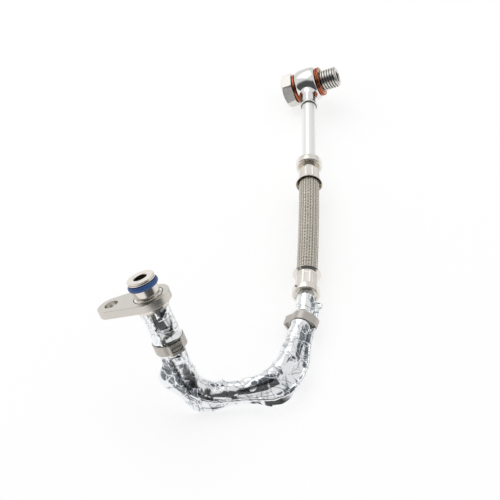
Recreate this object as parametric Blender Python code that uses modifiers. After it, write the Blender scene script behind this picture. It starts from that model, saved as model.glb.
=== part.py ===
"""Turbo oil feed line.

A banjo eye with its hollow bolt and two copper washers feeds a bright steel tube. A short hose with a
stainless braid is crimped between that tube and a bent lower tube, which runs inside a crumpled foil
heat cover held by two ear clamps. The cover's seam stands out as a fin, and outside the bends the foil
stands off the tube in blunt folds. The lower tube ends in a turned spigot with an O-ring and a one-bolt
flange. The line lies on a surface as it comes to rest: on a corner of the bolt's head and on the cover.

Everything is placed along one route, which is walked like a tube bender would: straight runs and bends.
Distances along the route start at the middle of the banjo eye. Units are metres, +Z is up.
"""

import math

import bmesh
import bpy
from mathutils import Matrix, Vector

MM = 0.001
DEG = math.pi / 180.0
TURN = 2.0 * math.pi

# Clearance between pieces that touch or fit into each other
GAP = 0.3 * MM

# Tubes
TUBE_DIAMETER = 8.0 * MM
TUBE_WALL = 1.0 * MM
TUBE_SEAT = 3.0 * MM

# Banjo eye and the socket that takes the upper tube
EYE_DIAMETER = 20.0 * MM
EYE_WIDTH = 12.0 * MM
EYE_FACE_DIAMETER = 17.0 * MM
EYE_OIL_PASSAGE = 4.6 * MM
SOCKET_REACH = 19.5 * MM
SOCKET_DEPTH = 8.0 * MM
SOCKET_WALL = 0.5 * MM
SOCKET_RIM = 1.3 * MM
SOCKET_RIM_HEIGHT = 0.2 * MM
NECK_LENGTH = 3.6 * MM
NECK_STEP = 0.1 * MM

# Banjo bolt and its sealing washers
BOLT_THREAD = 12.0 * MM
BOLT_BORE = 6.5 * MM
BOLT_WAIST = 9.6 * MM
BOLT_WAIST_LENGTH = 6.4 * MM
BOLT_CROSS_HOLE = 4.0 * MM
BOLT_BEYOND_WASHER = 9.5 * MM
BOLT_POINT = 0.9 * MM
HEX_ACROSS_FLATS = 17.0 * MM
HEX_HEIGHT = 6.0 * MM
HEX_CHAMFER = 0.5 * MM
HEX_TURN = 36.0 * DEG
WASHER_DIAMETER = 16.7 * MM
HEAD_WASHER_THICKNESS = 1.4 * MM
TIP_WASHER_THICKNESS = 2.0 * MM
TIP_WASHER_SEAM = 0.5 * MM
BOLT_ROLL = 23.0 * DEG

# Hose with its liner, braid, nipples and crimped ferrules
BRAID_DIAMETER = 10.8 * MM
BRAID_BORE = 8.2 * MM
BRAID_SHOWN = 65.5 * MM
BRAID_RIDGE = 0.22 * MM
BRAID_STRAND_PITCH = 4.0 * MM
CRIMP_SQUEEZE = 0.7 * MM
LINER_WALL = 0.8 * MM
FERRULE_LENGTH = 9.8 * MM
FERRULE_WALL = 0.85 * MM
FERRULE_FLATS = 8
FERRULE_FLAT_DEPTH = 0.25 * MM
BELL_DIAMETER = 14.4 * MM
BELL_LENGTH = 2.4 * MM
COLLAR_DIAMETER = 14.0 * MM
COLLAR_LENGTH = 4.3 * MM
COLLAR_ROUNDING = 0.7 * MM
COLLAR_DISH = 1.0 * MM
NIPPLE_NECK = 9.2 * MM
NIPPLE_BORE = 3.8 * MM
BARB_LENGTH = 7.0 * MM
UPPER_NECK_SHOWN = 3.4 * MM
LOWER_NECK_SHOWN = 0.5 * MM
PUNCH_MARK_LENGTH = 2.6 * MM
PUNCH_MARK_WIDTH = 1.0 * MM
PUNCH_MARK_DEPTH = 0.5 * MM
PUNCH_MARK_ANGLE = 152.0 * DEG

# Route: lengths of the straight runs, bend radii and bend angles
UPPER_TUBE_SHOWN = 46.9 * MM
HOSE_BEND = 2.4 * DEG
HOSE_BEND_ROLL = -23.0 * DEG
START_YAW = 1.4 * DEG
START_PITCH = -1.5 * DEG
RUN_TO_CLAMP_BEND = 7.8 * MM
CLAMP_BEND = 12.6 * DEG
CLAMP_BEND_RADIUS = 40.0 * MM
RUN_TO_CORNER = 24.4 * MM
CORNER_BEND = 66.7 * DEG
CORNER_BEND_RADIUS = 27.5 * MM
FLOOR_RUN = 9.0 * MM
RISE_BEND = 71.5 * DEG
RISE_BEND_RADIUS = 19.0 * MM
RISE_BEND_ROLL = 63.9 * DEG
LEG_TO_FLANGE = 37.4 * MM

# Foil heat cover: outer radius along the line, and the seam that stands out as a fin
COVER_WALL = 0.45 * MM
COVER_START = 2.0 * MM
COVER_TO_SHOULDER = 1.2 * MM
COVER_RADIUS_START = 4.8 * MM
COVER_RADIUS_CLAMP = 5.3 * MM
COVER_RADIUS_CORNER = 6.2 * MM
COVER_RADIUS_RUN = 6.0 * MM
COVER_RADIUS_RISE = 6.8 * MM
COVER_RADIUS_LEG = 7.4 * MM
COVER_COLUMNS = 26
COVER_RINGS = 56
COVER_BORE_RINGS = 16
FIN_THICKNESS = 1.7 * MM
FIN_HEIGHT_START = 2.4 * MM
FIN_HEIGHT_CLAMP = 2.3 * MM
FIN_HEIGHT_CORNER = 3.6 * MM
FIN_HEIGHT_END = 1.0 * MM
FIN_ANGLE = 4.0 * DEG
CRUMPLE_DEPTH = 1.4 * MM
CRUMPLE_SHARPNESS = 1.5
# Each slanted set of creases: radians along per millimetre, turns round, phase and share of the depth
CRUMPLE_WAVES = ((0.42, 3.0, 0.3, 0.45), (0.68, -5.0, 1.9, 0.33), (0.26, 7.0, 4.1, 0.22))
SEAM_SWAY = 0.25 * MM
SEAM_SWAY_RATE = 0.9

# Outside the bends the foil stands off the tube as a blunt fold; inside the last bend it is pinched
CORNER_FOLD = 7.0 * MM
CORNER_FOLD_AIM = -12.0 * DEG
FIRST_RISE_FOLD = 4.2 * MM
FIRST_RISE_FOLD_AIM = -46.0 * DEG
BETWEEN_RISE_FOLDS = 2.2 * MM
SECOND_RISE_FOLD = 4.6 * MM
FLOOR_FOLD = 2.3 * MM
FLOOR_FOLD_AIM = -38.0 * DEG
PINCH_HEIGHT = 2.4 * MM
PINCH_LENGTH = 3.2 * MM
PINCH_AIM = 115.0 * DEG
PINCH_SPREAD = 32.0 * DEG

# Ear clamps
BAND_WIDTH = 5.0 * MM
BAND_THICKNESS = 0.7 * MM
EAR_LENGTH = 9.4 * MM
EAR_CREST = 7.4 * MM
EAR_HEIGHT = 2.4 * MM
EAR_DIMPLE_LENGTH = 5.0 * MM
EAR_DIMPLE_WIDTH = 2.0 * MM
EAR_DIMPLE_DEPTH = 0.35 * MM
UPPER_CLAMP_EAR_ANGLE = 207.0 * DEG
LOWER_CLAMP_EAR_ANGLE = 49.0 * DEG
UPPER_CLAMP_BEYOND_COLLAR = 17.2 * MM
LOWER_CLAMP_BELOW_FLANGE = 25.7 * MM

# Spigot, O-ring and flange plate
SPIGOT_DIAMETER = 13.6 * MM
SPIGOT_SHAFT = 12.6 * MM
SPIGOT_HEIGHT = 9.8 * MM
SPIGOT_BORE = 6.5 * MM
SPIGOT_HUB = 14.0 * MM
LAND_WIDTH = 0.9 * MM
LAND_GROOVE_WIDTH = 0.5 * MM
LAND_GROOVE_DEPTH = 0.6 * MM
SHOULDER_DIAMETER = 16.4 * MM
SHOULDER_THICKNESS = 1.5 * MM
TAIL_LENGTH = 6.0 * MM
TAIL_WALL = 1.0 * MM
ORING_SECTION = 2.4 * MM
ORING_DIAMETER = 14.8 * MM
PLATE_THICKNESS = 4.0 * MM
PLATE_BOLT_HOLE = 6.6 * MM
PLATE_HOLE_SPACING = 19.4 * MM
PLATE_SPIGOT_END_RADIUS = 10.2 * MM
PLATE_BOLT_END_RADIUS = 7.0 * MM
PLATE_EDGE = 0.35 * MM
PLATE_TURN = -85.0 * DEG

# Steps round a turned piece, and the distance at which doubled corners are merged
STEPS = 20
MERGE_DISTANCE = 0.002 * MM

# Half sizes that several pieces share
TUBE_RADIUS = TUBE_DIAMETER / 2
SOCKET_BORE_RADIUS = TUBE_RADIUS + GAP
BRAID_RADIUS = BRAID_DIAMETER / 2
CRIMPED_RADIUS = BRAID_RADIUS - CRIMP_SQUEEZE
FERRULE_RADIUS = CRIMPED_RADIUS + GAP + FERRULE_WALL

# Stations along the route, as distances from the middle of the eye
UPPER_COLLAR = SOCKET_REACH + UPPER_TUBE_SHOWN
UPPER_FERRULE = UPPER_COLLAR + COLLAR_LENGTH + UPPER_NECK_SHOWN
UPPER_MOUTH = UPPER_FERRULE + FERRULE_LENGTH
LOWER_MOUTH = UPPER_MOUTH + BRAID_SHOWN
LOWER_FERRULE_END = LOWER_MOUTH + FERRULE_LENGTH
LOWER_COLLAR_END = LOWER_FERRULE_END + LOWER_NECK_SHOWN + COLLAR_LENGTH
COVER_BEGIN = LOWER_COLLAR_END + COVER_START
HOSE_FLEX_LENGTH = LOWER_MOUTH - UPPER_MOUTH


def new_collection(name):
    """Make a collection and link it to the scene."""
    collection = bpy.data.collections.new(name)
    bpy.context.scene.collection.children.link(collection)
    return collection


def make_material(name, colour, roughness, metallic):
    """Principled material with the piece's colour and finish."""
    material = bpy.data.materials.new(name)
    material.use_nodes = True
    shader = material.node_tree.nodes["Principled BSDF"]
    shader.inputs["Base Color"].default_value = (*colour, 1.0)
    shader.inputs["Roughness"].default_value = roughness
    shader.inputs["Metallic"].default_value = metallic
    return material


class Route:
    """The centre line of the oil line, made of straight runs and bends.

    A frame on the route has Z along the line towards the flange, Y up and X to the left of the walk.
    """

    def __init__(self, yaw, pitch):
        facing = Matrix(((1, 0, 0, 0), (0, 0, -1, 0), (0, 1, 0, 0), (0, 0, 0, 1)))
        self.end = Matrix.Rotation(-yaw, 4, "Z") @ facing @ Matrix.Rotation(-pitch, 4, "X")
        self.length = 0.0
        self.pieces = []

    def add(self, length, move):
        """Store one piece; move gives the frame after a distance from the piece's start."""
        self.pieces.append((self.length, self.end, move))
        self.end = self.end @ move(length)
        self.length += length

    def run(self, length):
        """A straight run."""
        self.add(length, lambda distance: Matrix.Translation((0, 0, distance)))

    def bend(self, radius, angle, roll=0.0):
        """A bend to the right of the walk, rolled upwards."""
        towards = Vector((-math.cos(roll), math.sin(roll), 0))
        axis = Vector((0, 0, 1)).cross(towards)
        centre = Matrix.Translation(towards * radius)

        def move(distance):
            return centre @ Matrix.Rotation(distance / radius, 4, axis) @ centre.inverted()

        self.add(radius * angle, move)

    def frame(self, distance):
        """The frame at a distance from the middle of the eye."""
        chosen = self.pieces[0]
        for piece in self.pieces:
            if piece[0] <= distance:
                chosen = piece
        start, frame, move = chosen
        return frame @ move(distance - start)


def make_route():
    """Walk from the eye to the spigot's tip."""
    route = Route(START_YAW, START_PITCH)
    route.run(UPPER_MOUTH)
    route.bend(HOSE_FLEX_LENGTH / HOSE_BEND, HOSE_BEND, HOSE_BEND_ROLL)
    route.run(FERRULE_LENGTH + LOWER_NECK_SHOWN + COLLAR_LENGTH + RUN_TO_CLAMP_BEND)
    route.bend(CLAMP_BEND_RADIUS, CLAMP_BEND)
    route.run(RUN_TO_CORNER)
    route.bend(CORNER_BEND_RADIUS, CORNER_BEND)
    route.run(FLOOR_RUN)
    route.bend(RISE_BEND_RADIUS, RISE_BEND, RISE_BEND_ROLL)
    route.run(LEG_TO_FLANGE + PLATE_THICKNESS + SPIGOT_HEIGHT)
    return route


ROUTE = make_route()
CLAMP_BEND_START = LOWER_COLLAR_END + RUN_TO_CLAMP_BEND
CLAMP_BEND_LENGTH = CLAMP_BEND_RADIUS * CLAMP_BEND
CORNER_START = CLAMP_BEND_START + CLAMP_BEND_LENGTH + RUN_TO_CORNER
CORNER_END = CORNER_START + CORNER_BEND_RADIUS * CORNER_BEND
RISE_START = CORNER_END + FLOOR_RUN
RISE_END = RISE_START + RISE_BEND_RADIUS * RISE_BEND
PLATE_TOP = ROUTE.length - SPIGOT_HEIGHT
PLATE_BOTTOM = PLATE_TOP - PLATE_THICKNESS
SHOULDER_BOTTOM = PLATE_BOTTOM - GAP - SHOULDER_THICKNESS
COVER_END = SHOULDER_BOTTOM - COVER_TO_SHOULDER
UPPER_CLAMP = LOWER_COLLAR_END + UPPER_CLAMP_BEYOND_COLLAR
LOWER_CLAMP = PLATE_TOP - LOWER_CLAMP_BELOW_FLANGE


class Maker:
    """Holds the collections and the empty that carries every piece."""

    def __init__(self):
        self.parts = new_collection("turbo_oil_feed_line")
        self.cutters = new_collection("cutters")
        self.carrier = bpy.data.objects.new("line_carrier", None)
        self.parts.objects.link(self.carrier)

    def add(self, name, mesh, frame=None, material=None):
        """Add a piece on the carrier, at a frame of the route."""
        piece = bpy.data.objects.new(name, mesh)
        self.parts.objects.link(piece)
        piece.parent = self.carrier
        piece.matrix_local = frame if frame else Matrix.Identity(4)
        if material:
            mesh.materials.append(material)
        return piece

    def cutter(self, name, mesh, frame=None):
        """Add a tool body that another piece is cut or joined with."""
        tool = bpy.data.objects.new(name, mesh)
        self.cutters.objects.link(tool)
        tool.parent = self.carrier
        tool.matrix_local = frame if frame else Matrix.Identity(4)
        tool.hide_render = True
        tool.display_type = "WIRE"
        return tool

    def boolean(self, piece, tool, operation):
        """Cut, join or intersect a piece with a tool body."""
        modifier = piece.modifiers.new(operation.lower(), "BOOLEAN")
        modifier.operation = operation
        modifier.object = tool
        modifier.solver = "EXACT"
        return modifier


def mesh_from(build):
    """Make a mesh datablock from a bmesh that the build function fills."""
    work = bmesh.new()
    build(work)
    mesh = bpy.data.meshes.new("mesh")
    work.to_mesh(mesh)
    work.free()
    return mesh


def profile_mesh(points, closed=True):
    """Edges through (radius, height) points, for a Screw modifier."""

    def build(work):
        verts = [work.verts.new((radius, 0.0, height)) for radius, height in points]
        for first, second in zip(verts, verts[1:]):
            work.edges.new((first, second))
        if closed:
            work.edges.new((verts[-1], verts[0]))

    return mesh_from(build)


def turn(piece, steps=STEPS):
    """Turn a profile about its Z axis."""
    screw = piece.modifiers.new("turned", "SCREW")
    screw.axis = "Z"
    screw.angle = TURN
    screw.steps = steps
    screw.render_steps = steps
    screw.use_merge_vertices = True
    screw.merge_threshold = MERGE_DISTANCE
    screw.use_smooth_shade = True
    return piece


def cylinder_mesh(radius, bottom, top, sides=STEPS, start=0.0):
    """A capped cylinder or prism between two heights."""

    def build(work):
        place = Matrix.Translation((0, 0, (bottom + top) / 2)) @ Matrix.Rotation(start, 4, "Z")
        bmesh.ops.create_cone(work, cap_ends=True, segments=sides, radius1=radius, radius2=radius,
                              depth=top - bottom, matrix=place)

    return mesh_from(build)


def finish(piece, angle=35.0):
    """Shade smooth with sharp edges kept."""
    piece.data.shade_smooth()
    piece.data.set_sharp_from_angle(angle=angle * DEG)
    return piece


def wrap(work, begin, stop, rings, columns, section):
    """Wrap a flat grid round the route, open at both ends.

    The section function gives a point across the route for a turn (0 to 1) and a distance.
    """
    made = bmesh.ops.create_grid(work, x_segments=columns, y_segments=rings, size=0.5)
    for vert in made["verts"]:
        turned = (vert.co.x + 0.5) % 1.0
        distance = begin + (stop - begin) * (vert.co.y + 0.5)
        across = section(turned if turned < 0.9999 else 0.0, distance)
        vert.co = ROUTE.frame(distance) @ Vector((across[0], across[1], 0.0))
    bmesh.ops.remove_doubles(work, verts=made["verts"], dist=MERGE_DISTANCE)


def hollow_mesh(begin, stop, outer, inner, columns, outer_rings, inner_rings):
    """A closed tube wall: an outer and an inner wrapped grid, bridged at both ends."""

    def build(work):
        wrap(work, begin, stop, outer_rings, columns, outer)
        outside = set(work.faces)
        wrap(work, begin, stop, inner_rings, columns, inner)
        bmesh.ops.reverse_faces(work, faces=[face for face in work.faces if face not in outside])
        middle = ROUTE.frame(begin).translation, ROUTE.frame(stop).translation
        rims = [edge for edge in work.edges if edge.is_boundary]
        for near, far in (middle, middle[::-1]):
            loop = [edge for edge in rims if edge.is_valid
                    and (edge.verts[0].co - near).length < (edge.verts[0].co - far).length]
            bmesh.ops.bridge_loops(work, edges=loop)
        bmesh.ops.recalc_face_normals(work, faces=work.faces)

    return mesh_from(build)


def round_section(radius):
    """Section function of a plain round wall whose radius may follow the distance."""

    def section(turned, distance):
        size = radius(distance) if callable(radius) else radius
        return size * math.cos(TURN * turned), size * math.sin(TURN * turned)

    return section


def between(distance, stations):
    """Value at a distance, eased between (distance, value) stations."""
    if distance <= stations[0][0]:
        return stations[0][1]
    for (first, low), (second, high) in zip(stations, stations[1:]):
        if distance <= second:
            share = (distance - first) / (second - first)
            eased = share * share * (3 - 2 * share)
            return low + (high - low) * eased
    return stations[-1][1]


def bolt_frame():
    """Frame at the eye's middle with Z along the bolt, towards its threaded tip."""
    across = Matrix.Rotation(BOLT_ROLL, 4, "Z") @ Matrix.Rotation(math.pi / 2, 4, "Y")
    return ROUTE.frame(0.0) @ across


EYE_HALF = EYE_WIDTH / 2
HEAD_WASHER_TOP = -EYE_HALF - GAP
HEAD_WASHER_BOTTOM = HEAD_WASHER_TOP - HEAD_WASHER_THICKNESS
TIP_WASHER_BOTTOM = EYE_HALF + GAP
TIP_WASHER_TOP = TIP_WASHER_BOTTOM + TIP_WASHER_THICKNESS
HEX_TOP = HEAD_WASHER_BOTTOM - GAP
HEX_BOTTOM = HEX_TOP - HEX_HEIGHT
BOLT_TIP = TIP_WASHER_TOP + BOLT_BEYOND_WASHER


def build_banjo_bolt(maker, steel):
    """Hexagon head, waisted shank with a cross hole, threaded end and axial bore."""
    frame = bolt_frame()
    shank = BOLT_THREAD / 2
    waist = BOLT_WAIST / 2
    bore = BOLT_BORE / 2
    half = BOLT_WAIST_LENGTH / 2
    step = shank - waist
    profile = [
        (bore + BOLT_POINT / 2, BOLT_TIP),
        (shank - BOLT_POINT, BOLT_TIP),
        (shank, BOLT_TIP - BOLT_POINT),
        (shank, half + step),
        (waist, half),
        (waist, -half),
        (shank, -half - step),
        (shank, HEX_TOP - HEX_HEIGHT / 2),
        (0.0, HEX_TOP - HEX_HEIGHT / 2),
        (0.0, -half - step - bore / 2),
        (bore, -half - step),
        (bore, BOLT_TIP - BOLT_POINT / 2),
    ]
    bolt = turn(maker.add("banjo_bolt", profile_mesh(profile), frame, steel))

    corner = HEX_ACROSS_FLATS / 2 / math.cos(math.pi / 6)
    head = maker.cutter("bolt_head", cylinder_mesh(corner, HEX_BOTTOM, HEX_TOP, 6, HEX_TURN), frame)
    crown = corner - HEX_CHAMFER
    cone = [(0.0, HEX_TOP + GAP), (corner + GAP, HEX_TOP + GAP),
            (corner + GAP, HEX_BOTTOM + HEX_CHAMFER),
            (crown - HEX_CHAMFER, HEX_BOTTOM - GAP * 0.1), (0.0, HEX_BOTTOM - GAP * 0.1)]
    rounding = turn(maker.cutter("head_chamfer", profile_mesh(cone), frame), STEPS)
    maker.boolean(head, rounding, "INTERSECT")
    maker.boolean(bolt, head, "UNION")

    hole = maker.cutter("oil_hole", cylinder_mesh(BOLT_CROSS_HOLE / 2, -BOLT_THREAD, BOLT_THREAD, 12),
                        frame @ Matrix.Rotation(math.pi / 2, 4, "X"))
    maker.boolean(bolt, hole, "DIFFERENCE")
    return bolt


def build_washers(maker, copper):
    """A flat washer under the head, a folded crush washer on the thread side."""
    frame = bolt_frame()
    rim = WASHER_DIAMETER / 2
    hole = BOLT_THREAD / 2 + GAP
    edge = HEAD_WASHER_THICKNESS / 5
    flat = [(hole, HEAD_WASHER_TOP), (rim - edge, HEAD_WASHER_TOP), (rim, HEAD_WASHER_TOP - edge),
            (rim, HEAD_WASHER_BOTTOM + edge), (rim - edge, HEAD_WASHER_BOTTOM),
            (hole, HEAD_WASHER_BOTTOM)]
    turn(maker.add("head_washer", profile_mesh(flat), frame, copper), 28)

    middle = (TIP_WASHER_TOP + TIP_WASHER_BOTTOM) / 2
    fold = TIP_WASHER_THICKNESS / 4
    seam = TIP_WASHER_SEAM
    folded = [(hole, TIP_WASHER_TOP), (rim - 2 * fold, TIP_WASHER_TOP), (rim - fold / 2, middle + fold * 1.6),
              (rim, middle + fold), (rim - seam, middle), (rim, middle - fold),
              (rim - fold / 2, middle - fold * 1.6), (rim - 2 * fold, TIP_WASHER_BOTTOM),
              (hole, TIP_WASHER_BOTTOM)]
    turn(maker.add("tip_washer", profile_mesh(folded), frame, copper), 28)


def build_banjo_eye(maker, steel):
    """Barrel-shaped eye with a concave neck and the socket for the tube, all one piece."""
    frame = bolt_frame()
    face = EYE_FACE_DIAMETER / 2
    belly = EYE_DIAMETER / 2
    points = 7
    drum = [(0.0, EYE_HALF)]
    for index in range(points):
        share = index / (points - 1)
        height = EYE_HALF * (1 - 2 * share)
        bulge = math.sqrt(max(0.0, 1 - (1 - 2 * share) ** 2))
        drum.append((face + (belly - face) * bulge, height))
    drum.append((0.0, -EYE_HALF))
    eye = turn(maker.add("banjo_eye", profile_mesh(drum, closed=False), frame, steel))

    along = ROUTE.frame(0.0)
    wall = SOCKET_BORE_RADIUS + SOCKET_WALL
    rim = wall + SOCKET_RIM_HEIGHT
    neck = [(0.0, SOCKET_REACH), (rim, SOCKET_REACH), (rim, SOCKET_REACH - SOCKET_RIM),
            (wall, SOCKET_REACH - SOCKET_RIM - SOCKET_RIM_HEIGHT)]
    widening = EYE_HALF - NECK_STEP - wall
    neck_top = belly + NECK_LENGTH * 0.4
    for index in range(5):
        share = index / 4
        flare = widening * (1 - math.sqrt(1 - share * share))
        neck.append((wall + flare, neck_top - share * NECK_LENGTH))
    neck.append((0.0, neck_top - NECK_LENGTH))
    socket = turn(maker.cutter("eye_socket", profile_mesh(neck, closed=False), along))
    maker.boolean(eye, socket, "UNION")

    hole = maker.cutter("eye_bore", cylinder_mesh(BOLT_THREAD / 2 + GAP, -EYE_WIDTH, EYE_WIDTH), frame)
    maker.boolean(eye, hole, "DIFFERENCE")
    seat = SOCKET_REACH - SOCKET_DEPTH
    passage = EYE_OIL_PASSAGE / 2
    drill = [(0.0, SOCKET_REACH + GAP), (SOCKET_BORE_RADIUS, SOCKET_REACH + GAP),
             (SOCKET_BORE_RADIUS, seat), (passage, seat), (passage, 0.0), (0.0, 0.0)]
    drilling = turn(maker.cutter("eye_drill", profile_mesh(drill, closed=False), along), 20)
    maker.boolean(eye, drilling, "DIFFERENCE")
    return eye


def build_upper_tube(maker, steel):
    """Straight tube from the eye's socket into the upper nipple."""
    begin = SOCKET_REACH - SOCKET_DEPTH + GAP
    stop = UPPER_COLLAR + TUBE_SEAT - GAP
    outer = round_section(TUBE_RADIUS)
    inner = round_section(TUBE_RADIUS - TUBE_WALL)
    mesh = hollow_mesh(begin, stop, outer, inner, 20, 1, 1)
    finish(maker.add("upper_tube", mesh, None, steel))


def nipple_profile(neck_shown):
    """Collar, neck and barb; height zero is the collar's outer end, the hose side is above."""
    rim = COLLAR_DIAMETER / 2
    neck = NIPPLE_NECK / 2
    bore = NIPPLE_BORE / 2
    barb = BRAID_BORE / 2 - GAP - LINER_WALL - GAP
    collar = COLLAR_LENGTH
    soft = COLLAR_ROUNDING
    ferrule = collar + neck_shown
    neck_end = ferrule + FERRULE_WALL + GAP
    tip = neck_end + GAP + BARB_LENGTH
    dish = SOCKET_BORE_RADIUS + COLLAR_DISH
    return [
        (bore, tip),
        (barb * 0.85, tip),
        (barb, tip - barb / 3),
        (barb, neck_end),
        (neck, neck_end),
        (neck, collar),
        (rim - soft, collar),
        (rim - soft * 0.3, collar - soft * 0.3),
        (rim, collar - soft),
        (rim, soft / 2),
        (rim - soft / 2, 0.0),
        (dish, 0.0),
        (SOCKET_BORE_RADIUS, COLLAR_DISH * 0.6),
        (SOCKET_BORE_RADIUS, TUBE_SEAT),
        (bore, TUBE_SEAT),
    ]


def build_nipples(maker, steel):
    """Both ends of the hose: a collar brazed to the tube, with a barb inside the liner."""
    upper = profile_mesh(nipple_profile(UPPER_NECK_SHOWN))
    turn(maker.add("upper_nipple", upper, ROUTE.frame(UPPER_COLLAR), steel))

    flipped = ROUTE.frame(LOWER_COLLAR_END) @ Matrix.Rotation(math.pi, 4, "Y")
    lower = profile_mesh(nipple_profile(LOWER_NECK_SHOWN))
    lower_nipple = turn(maker.add("lower_nipple", lower, flipped, steel))
    spot = ROUTE.frame(LOWER_COLLAR_END - COLLAR_LENGTH / 2) @ Matrix.Rotation(PUNCH_MARK_ANGLE, 4, "Z")
    reach = COLLAR_DIAMETER / 2
    slot = spot @ Matrix.Translation((reach, 0, 0)) @ Matrix.Rotation(40 * DEG, 4, "X")

    def build(work):
        size = Matrix.Diagonal((PUNCH_MARK_DEPTH * 2, PUNCH_MARK_WIDTH, PUNCH_MARK_LENGTH, 1))
        bmesh.ops.create_cube(work, size=1.0, matrix=size)

    punch = maker.cutter("punch_mark", mesh_from(build), slot)
    maker.boolean(lower_nipple, punch, "DIFFERENCE")


def ferrule_outline():
    """Ferrule section as (radius, height): height zero is the closed end, the mouth is above."""
    body = FERRULE_RADIUS
    inside = CRIMPED_RADIUS + GAP
    mouth = BELL_DIAMETER / 2
    throat = FERRULE_LENGTH - BELL_LENGTH
    neck = NIPPLE_NECK / 2 + GAP
    lip = FERRULE_WALL * 0.5
    return [
        (mouth - lip, FERRULE_LENGTH),
        (mouth, FERRULE_LENGTH - lip),
        (mouth - (mouth - body) * 0.35, FERRULE_LENGTH - BELL_LENGTH * 0.55),
        (body, throat),
        (body, lip),
        (body - lip, 0.0),
        (neck, 0.0),
        (neck, FERRULE_WALL),
        (inside, FERRULE_WALL),
        (inside, throat - lip),
        (mouth - lip * 1.6 - (mouth - body) * 0.35, FERRULE_LENGTH - BELL_LENGTH * 0.5),
    ]


def ferrule_mesh():
    """Turn the section, then press the flats of the crimping dies into the body."""
    steps = FERRULE_FLATS * 4
    source = bpy.data.objects.new("ferrule_blank", profile_mesh(ferrule_outline()))
    bpy.context.scene.collection.objects.link(source)
    turn(source, steps)
    bpy.context.view_layer.update()
    graph = bpy.context.evaluated_depsgraph_get()
    mesh = bpy.data.meshes.new_from_object(source.evaluated_get(graph))
    bpy.data.objects.remove(source)

    throat = FERRULE_LENGTH - BELL_LENGTH
    outside = CRIMPED_RADIUS + GAP + FERRULE_WALL / 2
    sector = TURN / FERRULE_FLATS
    for vert in mesh.vertices:
        radius = math.hypot(vert.co.x, vert.co.y)
        if radius < outside or vert.co.z > throat + BELL_LENGTH * 0.1:
            continue
        angle = math.atan2(vert.co.y, vert.co.x)
        away = abs((angle / sector + 0.5) % 1.0 - 0.5) * 2
        pressed = FERRULE_FLAT_DEPTH if away < 0.75 else 0.0
        vert.co.x *= (radius - pressed) / radius
        vert.co.y *= (radius - pressed) / radius
    return mesh


def build_ferrules(maker, steel):
    """Two crimped ferrules, mouths towards each other."""
    upper = maker.add("upper_ferrule", ferrule_mesh(), ROUTE.frame(UPPER_FERRULE), steel)
    finish(upper, 12)
    flipped = ROUTE.frame(LOWER_FERRULE_END) @ Matrix.Rotation(math.pi, 4, "Y")
    lower = maker.add("lower_ferrule", ferrule_mesh(), flipped, steel)
    finish(lower, 12)


def braid_radius(distance):
    """Outer radius of the braid: full between the mouths, squeezed inside the ferrules."""
    squeeze = BELL_LENGTH
    stations = [
        (UPPER_MOUTH - squeeze, CRIMPED_RADIUS),
        (UPPER_MOUTH, BRAID_RADIUS),
        (LOWER_MOUTH, BRAID_RADIUS),
        (LOWER_MOUTH + squeeze, CRIMPED_RADIUS),
    ]
    return between(distance, stations)


def braid_section(turned, distance):
    """Round section with the ridges of the woven strands."""
    radius = braid_radius(distance)
    open_length = UPPER_MOUTH < distance < LOWER_MOUTH
    height = BRAID_RIDGE if open_length else 0.0
    strands = BRAID_COLUMNS // 2
    row = round((distance - BRAID_BEGIN) / BRAID_ROW)
    column = round(turned * 2 * strands)
    raised = 1.0 if (row + column) % 2 else -1.0
    radius += height * (raised - 1.0) / 2
    return radius * math.cos(TURN * turned), radius * math.sin(TURN * turned)


BRAID_BEGIN = UPPER_FERRULE + FERRULE_WALL + GAP
BRAID_STOP = LOWER_FERRULE_END - FERRULE_WALL - GAP
BRAID_COLUMNS = 20
BRAID_RINGS = 2 * round((BRAID_STOP - BRAID_BEGIN) / BRAID_STRAND_PITCH)
BRAID_ROW = (BRAID_STOP - BRAID_BEGIN) / BRAID_RINGS


def build_hose(maker, braid, rubber):
    """Wire braid over a smooth liner; both are held by the crimps."""
    bore = round_section(BRAID_BORE / 2)
    mesh = hollow_mesh(BRAID_BEGIN, BRAID_STOP, braid_section, bore, BRAID_COLUMNS, BRAID_RINGS, 4)
    finish(maker.add("braided_hose", mesh, None, braid))
    liner_outer = BRAID_BORE / 2 - GAP
    mesh = hollow_mesh(BRAID_BEGIN, BRAID_STOP, round_section(liner_outer),
                       round_section(liner_outer - LINER_WALL), 14, 4, 4)
    finish(maker.add("hose_liner", mesh, None, rubber))


def build_lower_tube(maker, steel):
    """Bent tube from the lower nipple to the spigot's tail."""
    begin = LOWER_COLLAR_END - TUBE_SEAT + GAP
    stop = SHOULDER_BOTTOM - GAP
    outer = round_section(TUBE_RADIUS)
    inner = round_section(TUBE_RADIUS - TUBE_WALL)
    mesh = hollow_mesh(begin, stop, outer, inner, 12, 22, 22)
    finish(maker.add("lower_tube", mesh, None, steel))


def cover_radius(distance):
    """Outer radius of the foil cover along the line."""
    tail = COVER_END - TAIL_LENGTH
    stations = [
        (COVER_BEGIN, COVER_RADIUS_START),
        (UPPER_CLAMP - BAND_WIDTH, COVER_RADIUS_START),
        (UPPER_CLAMP - BAND_WIDTH / 2, COVER_RADIUS_CLAMP),
        (UPPER_CLAMP + BAND_WIDTH / 2, COVER_RADIUS_CLAMP),
        ((CORNER_START + CORNER_END) / 2, COVER_RADIUS_CORNER),
        ((CORNER_END + RISE_START) / 2, COVER_RADIUS_RUN),
        ((RISE_START + RISE_END) / 2, COVER_RADIUS_RISE),
        (RISE_END, COVER_RADIUS_LEG),
        (tail, COVER_RADIUS_LEG),
    ]
    return between(distance, stations)


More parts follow.
